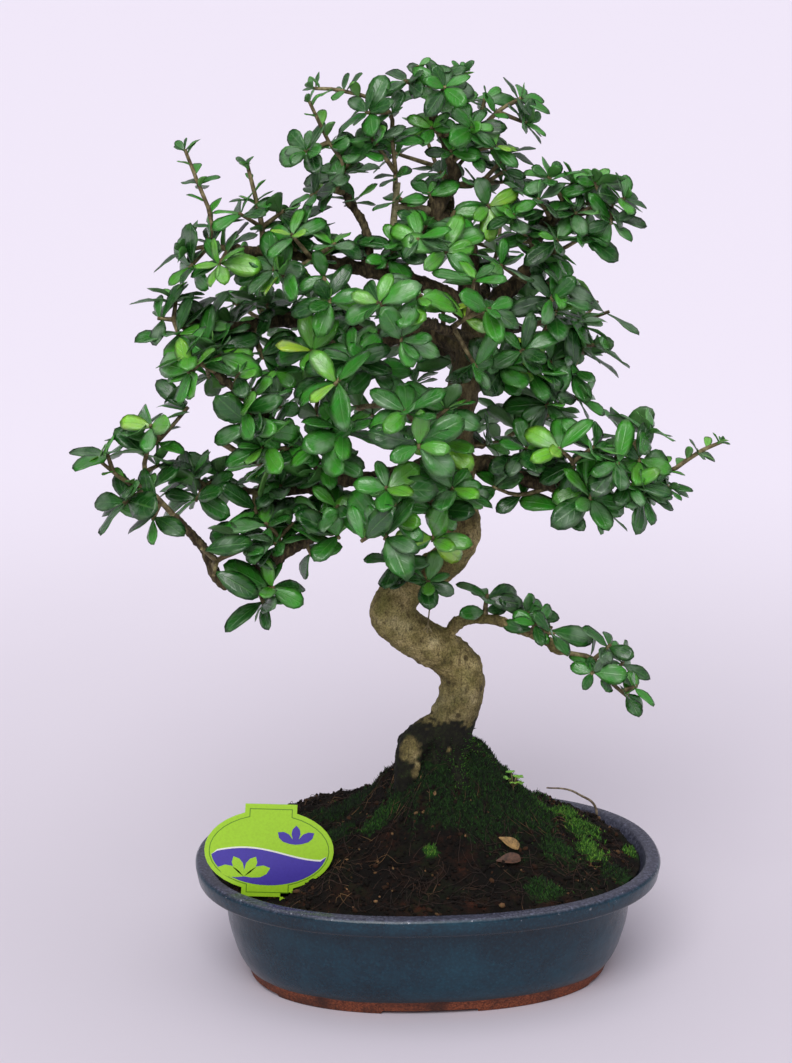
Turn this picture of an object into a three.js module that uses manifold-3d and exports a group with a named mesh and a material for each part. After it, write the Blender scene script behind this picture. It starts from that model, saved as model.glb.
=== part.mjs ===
// A Fukien tea bonsai in an oval glazed pot: pot, two drain screens, soil, the tree's wood, its leafy
// sprays, a plastic plant label, two fallen leaves and a dead stem, each a closed solid of its own.
//
// Millimetres, +Z up. While it is built, the origin lies 72 mm below the middle of the pot's lip, X runs
// along the pot and -Y is the front. At the end everything moves so that the origin is the middle of the
// whole box's base.

import * as THREE from 'three';
import { mergeVertices } from 'three/addons/utils/BufferGeometryUtils.js';
import Module from 'manifold-3d';

const wasm = await Module();
wasm.setup();

// Driving dimensions
const POT_LENGTH = 260;
const POT_DEPTH = 194;
const LIP_TOP = 72;
const POT_HEIGHT = 67.5;
const FOOT_LENGTH = 199;
const FLOOR_BOTTOM = 10;
const FLOOR_TOP = 14.5;
const OVAL_POWER = 2.25;
const FOOT_GAP = { front: 53, shift: -5, back: 53, end: 76, height: 2.2, depth: 36, overhang: 8 };
const DRAIN_HOLE = { radius: 8, offset: 44, depth: 30, sides: 16 };
const SCREEN = { size: 30, thickness: 1, bars: 2, hole: 9 };
const SOIL_EDGE = 67;
const SOIL_DOME = 22;
const SOIL_BACK = 13;
const MOUND = { x: 12, y: 6, height: 47, reach: 40 };
const CLEARANCE = 0.35;
const TWIG_RADIUS = { start: 1.7, end: 1.1 };
const BLADE = { thickness: 0.6, longest: 25, widest: 0.235 };
const LABEL = { width: 70, height: 47, tab: 28, tabHeight: 3.2, thickness: 1 };
const LABEL_PLACE = { x: -90.5, y: -44.5, z: 93.7, tilt: -3.5 };
const STAKE = { offset: 10, width: 6, shoulder: 16, length: 24 };

// Materials
const glaze = new THREE.MeshStandardMaterial({ color: '#1f4f68', roughness: 0.3, metalness: 0 });
const earth = new THREE.MeshStandardMaterial({ color: '#33231a', roughness: 0.95, metalness: 0 });
const bark = new THREE.MeshStandardMaterial({ color: '#a8967a', roughness: 0.85, metalness: 0 });
const leafGreen = new THREE.MeshStandardMaterial({ color: '#27622c', roughness: 0.35, metalness: 0 });
const limePlastic = new THREE.MeshStandardMaterial({ color: '#a6d92e', roughness: 0.4, metalness: 0 });
const screenPlastic = new THREE.MeshStandardMaterial({ color: '#2c2f2d', roughness: 0.6, metalness: 0 });
const dryLeaf = new THREE.MeshStandardMaterial({ color: '#9a7a55', roughness: 0.8, metalness: 0 });

const bonsai = new THREE.Group();
const vector = (point) => new THREE.Vector3(...point);

// Closed geometry to solid and back. Shared corners are merged and flat triangles at poles dropped.
function toSolid(geometry) {
  const plain = geometry.clone();
  plain.deleteAttribute('normal');
  plain.deleteAttribute('uv');
  const merged = mergeVertices(plain, 1e-4);
  const corners = merged.index.array;
  const kept = [];
  for (let i = 0; i < corners.length; i += 3) {
    const [a, b, c] = [corners[i], corners[i + 1], corners[i + 2]];
    if (a !== b && b !== c && c !== a) kept.push(a, b, c);
  }
  return new wasm.Manifold(new wasm.Mesh({
    numProp: 3,
    vertProperties: new Float32Array(merged.attributes.position.array),
    triVerts: new Uint32Array(kept),
  }));
}

function toGeometry(solid) {
  const mesh = solid.getMesh();
  const geometry = new THREE.BufferGeometry();
  geometry.setAttribute('position', new THREE.BufferAttribute(new Float32Array(mesh.vertProperties), 3));
  geometry.setIndex(new THREE.BufferAttribute(new Uint32Array(mesh.triVerts), 1));
  geometry.computeVertexNormals();
  return geometry;
}

function addPiece(name, solid, material) {
  const mesh = new THREE.Mesh(toGeometry(solid), material);
  mesh.name = name;
  bonsai.add(mesh);
}

function joined(solids) {
  return solids.reduce((whole, next) => whole.add(next));
}

// The largest of the bodies that a cut leaves; loose scraps are dropped.
function largestBody(solid) {
  return solid.decompose().reduce((best, next) => (next.volume() > best.volume() ? next : best));
}

// Evenly scattered numbers from 0 to 1 that depend only on the three counts given.
function chance(a, b, c) {
  const wave = Math.sin(a * 12.9898 + b * 78.233 + c * 37.719) * 43758.5453;
  return wave - Math.floor(wave);
}

// The pot's plan is a superellipse. Its walls stay parallel, so the half depth is the half length less a
// fixed amount, and near the middle of the floor it shrinks in proportion.
const WALL_OFFSET = (POT_LENGTH - POT_DEPTH) / 2;
const INNER_OVAL = 80;

function halfDepth(halfLength) {
  const inner = (INNER_OVAL - WALL_OFFSET) / INNER_OVAL;
  return halfLength > INNER_OVAL ? halfLength - WALL_OFFSET : halfLength * inner;
}

function ovalPoint(halfLength, angle) {
  const stretch = (value) => Math.sign(value) * Math.abs(value) ** (2 / OVAL_POWER);
  return [halfLength * stretch(Math.cos(angle)), halfDepth(halfLength) * stretch(Math.sin(angle))];
}

// A profile of [half length, height] rows turned into an oval solid. The lathe's own axis is Y.
function ovalLathe(profile, segments) {
  const geometry = new THREE.LatheGeometry(profile.map(([r, z]) => new THREE.Vector2(r, z)), segments);
  const place = geometry.attributes.position;
  for (let i = 0; i < place.count; i++) {
    const across = Math.hypot(place.getX(i), place.getZ(i));
    const angle = Math.atan2(-place.getZ(i), place.getX(i));
    const [x, y] = ovalPoint(across, angle);
    place.setXYZ(i, x, y, place.getY(i));
  }
  return geometry;
}

// Pot: foot ring, wall swelling up to an overhanging lip, sloped inner shoulder, raised floor
const HALF = POT_LENGTH / 2;
const FOOT = FOOT_LENGTH / 2;
const FOOT_BOTTOM = LIP_TOP - POT_HEIGHT;
const potProfile = [
  [0, FLOOR_BOTTOM], [FOOT - 12.5, FLOOR_BOTTOM], [FOOT - 10.5, FOOT_BOTTOM], [FOOT, FOOT_BOTTOM],
  [FOOT + 2, 10.5], [FOOT + 7.5, 19], [FOOT + 12.5, 36], [FOOT + 14.5, LIP_TOP - 15],
  [HALF - 1.5, LIP_TOP - 10], [HALF, LIP_TOP - 2], [HALF - 1.5, LIP_TOP], [HALF - 8, LIP_TOP],
  [HALF - 11, LIP_TOP - 6], [HALF - 22, LIP_TOP - 16], [HALF - 26, 30], [HALF - 35, FLOOR_TOP],
  [0, FLOOR_TOP],
];
const POT_SIDES = 34;
const screenPlaces = [-DRAIN_HOLE.offset, DRAIN_HOLE.offset];

// A box that cuts through the foot ring on one side; outside is the ring's half length or half depth
function footGap(angle, width, shift, outside) {
  const box = new THREE.BoxGeometry(width, FOOT_GAP.depth, FOOT_GAP.height * 2);
  box.translate(shift, -outside - FOOT_GAP.overhang + FOOT_GAP.depth / 2, FOOT_BOTTOM);
  box.rotateZ(angle);
  return toSolid(box);
}

let pot = toSolid(ovalLathe(potProfile, POT_SIDES))
  .subtract(footGap(0, FOOT_GAP.front, FOOT_GAP.shift, halfDepth(FOOT)))
  .subtract(footGap(Math.PI, FOOT_GAP.back, 0, halfDepth(FOOT)))
  .subtract(footGap(Math.PI / 2, FOOT_GAP.end, 0, FOOT))
  .subtract(footGap(-Math.PI / 2, FOOT_GAP.end, 0, FOOT));
for (const x of screenPlaces) {
  const { radius, depth, sides } = DRAIN_HOLE;
  const drain = new THREE.CylinderGeometry(radius, radius, depth, sides);
  drain.rotateX(Math.PI / 2);
  drain.translate(x, 0, FLOOR_TOP);
  pot = pot.subtract(toSolid(drain));
}
addPiece('pot', pot, glaze);

// Drain screens: squares of plastic mesh that lie on the floor over the two drain holes
function screenSolid(x, grow) {
  const size = SCREEN.size + grow * 2;
  const sheet = new THREE.BoxGeometry(size, size, SCREEN.thickness + grow * 2);
  sheet.translate(x, 0, FLOOR_TOP + CLEARANCE + SCREEN.thickness / 2);
  return toSolid(sheet);
}

function screenHoles(x) {
  const pitch = SCREEN.size / (SCREEN.bars + 0.5);
  return Array.from({ length: SCREEN.bars ** 2 }, (_, i) => {
    const hole = new THREE.BoxGeometry(SCREEN.hole, SCREEN.hole, SCREEN.thickness * 4);
    const across = (i % SCREEN.bars - (SCREEN.bars - 1) / 2) * pitch;
    const along = (Math.floor(i / SCREEN.bars) - (SCREEN.bars - 1) / 2) * pitch;
    hole.translate(x + across, along, FLOOR_TOP + 1);
    return toSolid(hole);
  });
}

screenPlaces.forEach((x, i) => {
  const sheet = screenSolid(x, 0).subtract(joined(screenHoles(x)));
  addPiece(`drain_screen_${['left', 'right'][i]}`, sheet, screenPlastic);
});

// A round stem along a route: a capped cylinder whose rings are laid square to a curve through the
// route's points. radii has one value for each point; grow makes the whole stem fatter and longer.
function stem(route, radii, sides, ringsPerStep, grow = 0, swell = () => 1) {
  const points = route.map(vector);
  const last = points.length - 1;
  const run = points[last].clone().sub(points[last - 1]).normalize();
  points[last].addScaledVector(run, grow);
  const curve = new THREE.CatmullRomCurve3(points, false, 'centripetal');
  const rings = last * ringsPerStep;
  const geometry = new THREE.CylinderGeometry(1, 1, 1, sides, rings);
  const place = geometry.attributes.position;
  const frames = [];
  let side = new THREE.Vector3(0.3, 1, 0.2);
  for (let i = 0; i <= rings; i++) {
    const t = i / rings;
    const along = curve.getTangent(t);
    side = side.clone().addScaledVector(along, -side.dot(along)).normalize();
    const index = Math.min(Math.floor(t * last), last - 1);
    const radius = THREE.MathUtils.lerp(radii[index], radii[index + 1], t * last - index) + grow;
    const other = new THREE.Vector3().crossVectors(along, side);
    frames.push({ centre: curve.getPoint(t), side, other, radius });
  }
  for (let i = 0; i < place.count; i++) {
    const ring = Math.round((place.getY(i) + 0.5) * rings);
    const { centre, side: u, other: v, radius } = frames[ring];
    const [a, b] = [place.getX(i), place.getZ(i)];
    const reach = radius * swell(Math.atan2(b, a), ring / rings);
    const point = centre.clone().addScaledVector(u, a * reach).addScaledVector(v, -b * reach);
    place.setXYZ(i, point.x, point.y, point.z);
  }
  return toSolid(geometry);
}

// count radii that go evenly from one to another
function taper(count, from, to) {
  return Array.from({ length: count }, (_, i) => from + (to - from) * i / (count - 1));
}

// Trunk: an S from the root flare, once to the left and back, then up through the crown
const trunkRoute = [
  [6, 4, 62], [6, 3, 92], [7, 2, 117], [10, 1, 137], [13, 0, 150], [18, 0, 164], [19, 0, 174], [13, 0, 185],
  [1, -2, 194], [-13, -4, 204], [-21, -5, 215], [-17, -4, 223], [-8, -2, 230], [6, 2, 238], [15, 4, 247],
  [19, 5, 257], [18, 5, 270], [17, 4, 286], [15, 2, 303], [15, 1, 320], [18, 0, 336], [22, 0, 350],
  [25, 3, 374],
];
const trunkRadii = [
  6, 12, 16, 14.5, 12.5, 11.8, 12.2, 12, 12.2, 12, 11.6, 11.2, 10.8, 10.4, 10, 9.6, 9, 8.7, 8.6, 8.6,
  9, 8.8, 7.5,
];
const trunkSwell = (angle, t) => 1 + 0.07 * Math.sin(3 * angle + 21 * t)
  + 0.04 * Math.sin(5 * angle - 34 * t);

// Surface roots run from the trunk's foot down into the mound; the left one is the pale knob in front
const roots = [
  { route: [[8, 0, 146], [-3, -4, 143], [-10, -7, 137], [-12, -8, 126], [-13, -8, 110], [-15, -8, 92]],
    from: 9, to: 6.5 },
  { route: [[12, 2, 140], [26, 2, 127], [38, 4, 108], [46, 5, 92]], from: 8, to: 4 },
  { route: [[12, 4, 138], [9, 20, 121], [4, 34, 100], [0, 42, 88]], from: 8, to: 4 },
  { route: [[10, 0, 136], [15, -15, 120], [20, -26, 100], [24, -34, 88]], from: 8, to: 4 },
];

// Limbs, each starting inside the trunk or the limb that carries it
const limbs = [
  { route: [[10, -1, 191], [11, -3, 201], [18, -6, 209], [30, -10, 211], [48, -14, 206], [75, -20, 193]],
    from: 4.2, to: 2.2 },
  { route: [[17, 4, 276], [-18, -18, 277], [-38, -24, 276], [-57, -28, 270], [-82, -32, 257],
    [-109, -35, 243], [-116, -35, 246], [-120, -34, 257], [-138, -32, 279]], from: 6, to: 2.4 },
  { route: [[15, 2, 302], [-26, -26, 295], [-48, -32, 298], [-58, -34, 303], [-77, -36, 321],
    [-115, -42, 358]], from: 5.5, to: 2.2 },
  { route: [[-48, -32, 298], [-61, -22, 290], [-78, -14, 286], [-116, -8, 286]], from: 3, to: 1.8 },
  { route: [[23, 2, 360], [2, 14, 364], [-30, 20, 362], [-68, 18, 372], [-100, 10, 371], [-131, 4, 376]],
    from: 6, to: 2 },
  { route: [[24, 2, 374], [5, -8, 391], [-17, -14, 400], [-54, -20, 410], [-72, -20, 414], [-105, -14, 417]],
    from: 5.5, to: 2.2 },
  { route: [[-34, -18, 406], [-34, -16, 423], [-46, -14, 445]], from: 3, to: 1.8 },
  { route: [[25, 3, 372], [22, 4, 387], [18, 2, 417], [2, -2, 433], [12, 2, 447], [11, 2, 459], [1, 0, 485]],
    from: 7, to: 2 },
  { route: [[26, 4, 372], [38, 8, 384], [54, 10, 400], [62, 8, 424], [89, 0, 433]], from: 5.5, to: 2.2 },
  { route: [[20, 1, 337], [45, 8, 344], [76, 12, 352]], from: 5, to: 2.2 },
  { route: [[16, 3, 290], [32, -4, 297], [59, -10, 286], [75, -12, 290], [98, -16, 300]], from: 5, to: 2.4 },
  { route: [[15, 0, 313], [1, -52, 327], [-7, -70, 333]], from: 4, to: 2 },
  { route: [[16, 2, 285], [4, -32, 291], [-21, -66, 291]], from: 4, to: 2 },
  { route: [[23, 0, 361], [12, -32, 373], [-16, -72, 390]], from: 4, to: 2 },
  { route: [[15, 3, 300], [24, 26, 300], [34, 46, 296]], from: 4.5, to: 2.6 },
  { route: [[22, 2, 352], [14, 24, 354], [2, 46, 350]], from: 4.5, to: 2.6 },
  { route: [[25, 4, 376], [30, 24, 382], [36, 40, 388]], from: 4, to: 2.4 },
  { route: [[18, 2, 333], [6, 30, 326], [-14, 56, 316]], from: 4.5, to: 2.6 },
  { route: [[22, 1, 356], [40, 18, 364], [54, 34, 363]], from: 4, to: 2.4 },
  { route: [[6, -1, 428], [12, 14, 434], [12, 26, 440]], from: 3.4, to: 2 },
  { route: [[-30, 20, 362], [-42, 30, 366], [-50, 40, 366]], from: 3.4, to: 2.2 },
  { route: [[-38, -24, 276], [-50, -6, 282], [-60, 12, 283]], from: 3.4, to: 2.2 },
];

function woodParts(grow) {
  const parts = [stem(trunkRoute, trunkRadii, 12, 1, grow, trunkSwell)];
  for (const { route, from, to } of roots) {
    parts.push(stem(route, taper(route.length, from, to), 5, 1, grow));
  }
  for (const { route, from, to } of limbs) {
    parts.push(stem(route, taper(route.length, from, to), 5, 1, grow));
  }
  return parts;
}

const fatWoodParts = woodParts(CLEARANCE);
const fatWood = joined(fatWoodParts);
addPiece('wood', joined(woodParts(0)), bark);

// Label: an oval card with a square tab above and below, on a pointed stake off to one side
function labelSolid(grow) {
  const outline = [];
  const reachX = LABEL.width / 2 + grow;
  const reachY = LABEL.height / 2 + grow;
  const halfTab = LABEL.tab / 2 + grow;
  const tabAngle = Math.acos(halfTab / reachX);
  const steps = 8;
  for (const start of [-1, 1]) {
    for (let i = 0; i <= steps; i++) {
      const angle = (start > 0 ? Math.PI : 0) - tabAngle + 2 * tabAngle * i / steps;
      outline.push(new THREE.Vector2(reachX * Math.cos(angle), reachY * Math.sin(angle)));
    }
    outline.push(new THREE.Vector2(-start * halfTab, -start * (reachY + LABEL.tabHeight)));
    outline.push(new THREE.Vector2(start * halfTab, -start * (reachY + LABEL.tabHeight)));
  }
  const half = STAKE.width / 2 + grow;
  const point = STAKE.length + grow;
  const stake = [[-half, 0], [-half, -STAKE.shoulder], [0, -point], [half, -STAKE.shoulder], [half, 0]]
    .map(([x, y]) => new THREE.Vector2(STAKE.offset + x, y - LABEL.height / 2));
  const depth = LABEL.thickness + grow * 2;
  const solids = [outline, stake].map((points) => {
    const geometry = new THREE.ExtrudeGeometry(new THREE.Shape(points), { depth, bevelEnabled: false });
    geometry.translate(0, 0, -depth / 2);
    geometry.rotateZ(THREE.MathUtils.degToRad(LABEL_PLACE.tilt));
    geometry.rotateX(Math.PI / 2);
    geometry.translate(LABEL_PLACE.x, LABEL_PLACE.y, LABEL_PLACE.z);
    return toSolid(geometry);
  });
  return joined(solids);
}

addPiece('plant_label', labelSolid(0), limePlastic);

// Dead stem: a thin bent stalk that stands in the soil at the right
const deadStemRoute = [[101, 42, 66], [100.2, 40.5, 81], [91.4, 40, 88], [84.4, 40, 91.5], [72, 40, 93]];
const deadStem = (grow) => stem(deadStemRoute, taper(deadStemRoute.length, 0.8, 0.5), 4, 1, grow);
addPiece('dead_stem', deadStem(0), dryLeaf);

// Soil: fills the pot, domed and heaped up at the back, with a mound round the trunk's foot
function soilHeight(x, y) {
  const reach = [HALF - 11, POT_DEPTH / 2 - 11];
  const sum = Math.abs(x / reach[0]) ** OVAL_POWER + Math.abs(y / reach[1]) ** OVAL_POWER;
  const edge = Math.min(sum, 1) ** (1 / OVAL_POWER);
  const away = Math.hypot(x - MOUND.x, y - MOUND.y) / MOUND.reach;
  const bumps = 1.1 * Math.sin(x * 0.31 + y * 0.17) * Math.sin(y * 0.27 - x * 0.11);
  const dome = SOIL_DOME * (1 - edge ** 2) ** 0.8 + SOIL_BACK * Math.max(0, y / reach[1]) * (1 - edge ** 8);
  return SOIL_EDGE + dome + MOUND.height * Math.exp(-(away ** 2.6)) + bumps;
}

const soilRows = [HALF - 11.4, 104, 88, 72, 58, 45, 34, 22, 10, 0];
const soilProfile = [
  [0, FLOOR_TOP + CLEARANCE], [HALF - 35.4, FLOOR_TOP + CLEARANCE], [HALF - 26.4, 30],
  [HALF - 22.4, LIP_TOP - 16], ...soilRows.map((r) => [r, LIP_TOP]),
];
const soilGeometry = ovalLathe(soilProfile, 24);
const soilPlaces = soilGeometry.attributes.position;
for (let i = 0; i < soilPlaces.count; i++) {
  const row = i % soilProfile.length;
  if (row > 3) {
    const [x, y] = [soilPlaces.getX(i), soilPlaces.getY(i)];
    soilPlaces.setZ(i, soilHeight(x, y));
  }
}
let soil = toSolid(soilGeometry).subtract(fatWood);
for (const x of screenPlaces) {
  soil = soil.subtract(screenSolid(x, CLEARANCE));
}
soil = soil.subtract(labelSolid(CLEARANCE)).subtract(deadStem(CLEARANCE));
soil = largestBody(soil);
addPiece('soil', soil, earth);

// Leaf blade: narrow at its foot, widest near a toothed tip, arched along its length and raised a little
// at its edges. The rows are [share of the length, share of the half width], each with an edge point on
// either side; the tip is a point on the rib, and both faces meet in one point at the foot.
const bladeRows = [[0.4, 0.85], [0.72, 1], [0.85, 0.68]];

function bladeSolid({ foot, along, across, up, length, halfWidth, droop }, thickness) {
  const outline = [...bladeRows, [1, 0], ...bladeRows.map(([t, w]) => [t, -w]).reverse()];
  const surfacePoint = ([t, w], lift) => foot.clone()
    .addScaledVector(along, t * length)
    .addScaledVector(across, w * halfWidth)
    .addScaledVector(up, lift - droop * length * t * t + 0.16 * halfWidth * Math.abs(w));
  const faceCorners = (face) => outline.map((point) => surfacePoint(point, face * thickness / 2));
  const corners = [1, -1].flatMap(faceCorners);
  corners.push(foot);
  const count = outline.length;
  const root = count * 2;
  const faces = [
    root, count - 1, 0, root, count, count * 2 - 1,
    root, 0, count, root, count * 2 - 1, count - 1,
  ];
  const addFace = (a, b, c) => faces.push(a, b, c, a + count, c + count, b + count);
  for (let left = 1; left < bladeRows.length; left++) {
    const right = count - 1 - left;
    addFace(left - 1, right + 1, right);
    addFace(left - 1, right, left);
  }
  addFace(bladeRows.length - 1, bladeRows.length + 1, bladeRows.length);
  for (let i = 0; i < count - 1; i++) {
    faces.push(i, i + 1, i + 1 + count, i, i + 1 + count, i + count);
  }
  const geometry = new THREE.BufferGeometry();
  geometry.setAttribute('position', new THREE.Float32BufferAttribute(corners.flatMap((p) => p.toArray()), 3));
  geometry.setIndex(faces);
  return toSolid(geometry);
}

// Where leaf k of a rosette grows: leaves turn by the golden angle, the outer ones lie wide and low and
// the inner ones stand up round the tip. None hangs steeply; size shrinks the leaves of weak twigs.
const GOLDEN_ANGLE = 137.508;
const STEEPEST = -0.3;
const UP = new THREE.Vector3(0, 0, 1);

function leafPlace(rosette, k, tip, heading, size) {
  const axis = heading.clone().addScaledVector(UP, 0.7).normalize();
  const first = new THREE.Vector3(0.2, 1, 0.1).cross(axis).normalize();
  const second = new THREE.Vector3().crossVectors(axis, first);
  const start = 360 * chance(rosette, 0, 1) + 30 * chance(rosette, k, 2);
  const turn = THREE.MathUtils.degToRad(GOLDEN_ANGLE * k + start);
  const lean = THREE.MathUtils.degToRad(90 - 6.5 * k + 16 * (chance(rosette, k, 3) - 0.5));
  const along = axis.clone().multiplyScalar(Math.cos(lean))
    .addScaledVector(first, Math.sin(lean) * Math.cos(turn))
    .addScaledVector(second, Math.sin(lean) * Math.sin(turn));
  along.setZ(Math.max(along.z, STEEPEST)).normalize();
  const facing = axis.clone().multiplyScalar(0.5).addScaledVector(UP, 0.8);
  const up = facing.addScaledVector(along, -facing.dot(along)).normalize();
  const length = size * (BLADE.longest - 1.3 * k) * (0.82 + 0.3 * chance(rosette, k, 4));
  return {
    foot: tip.clone().addScaledVector(heading, -0.4 * (8 - k)),
    along, up, length,
    across: new THREE.Vector3().crossVectors(up, along),
    halfWidth: length * BLADE.widest * (0.85 + 0.3 * chance(rosette, k, 5)),
    droop: 0.12 + 0.2 * chance(rosette, k, 6),
  };
}

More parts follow.
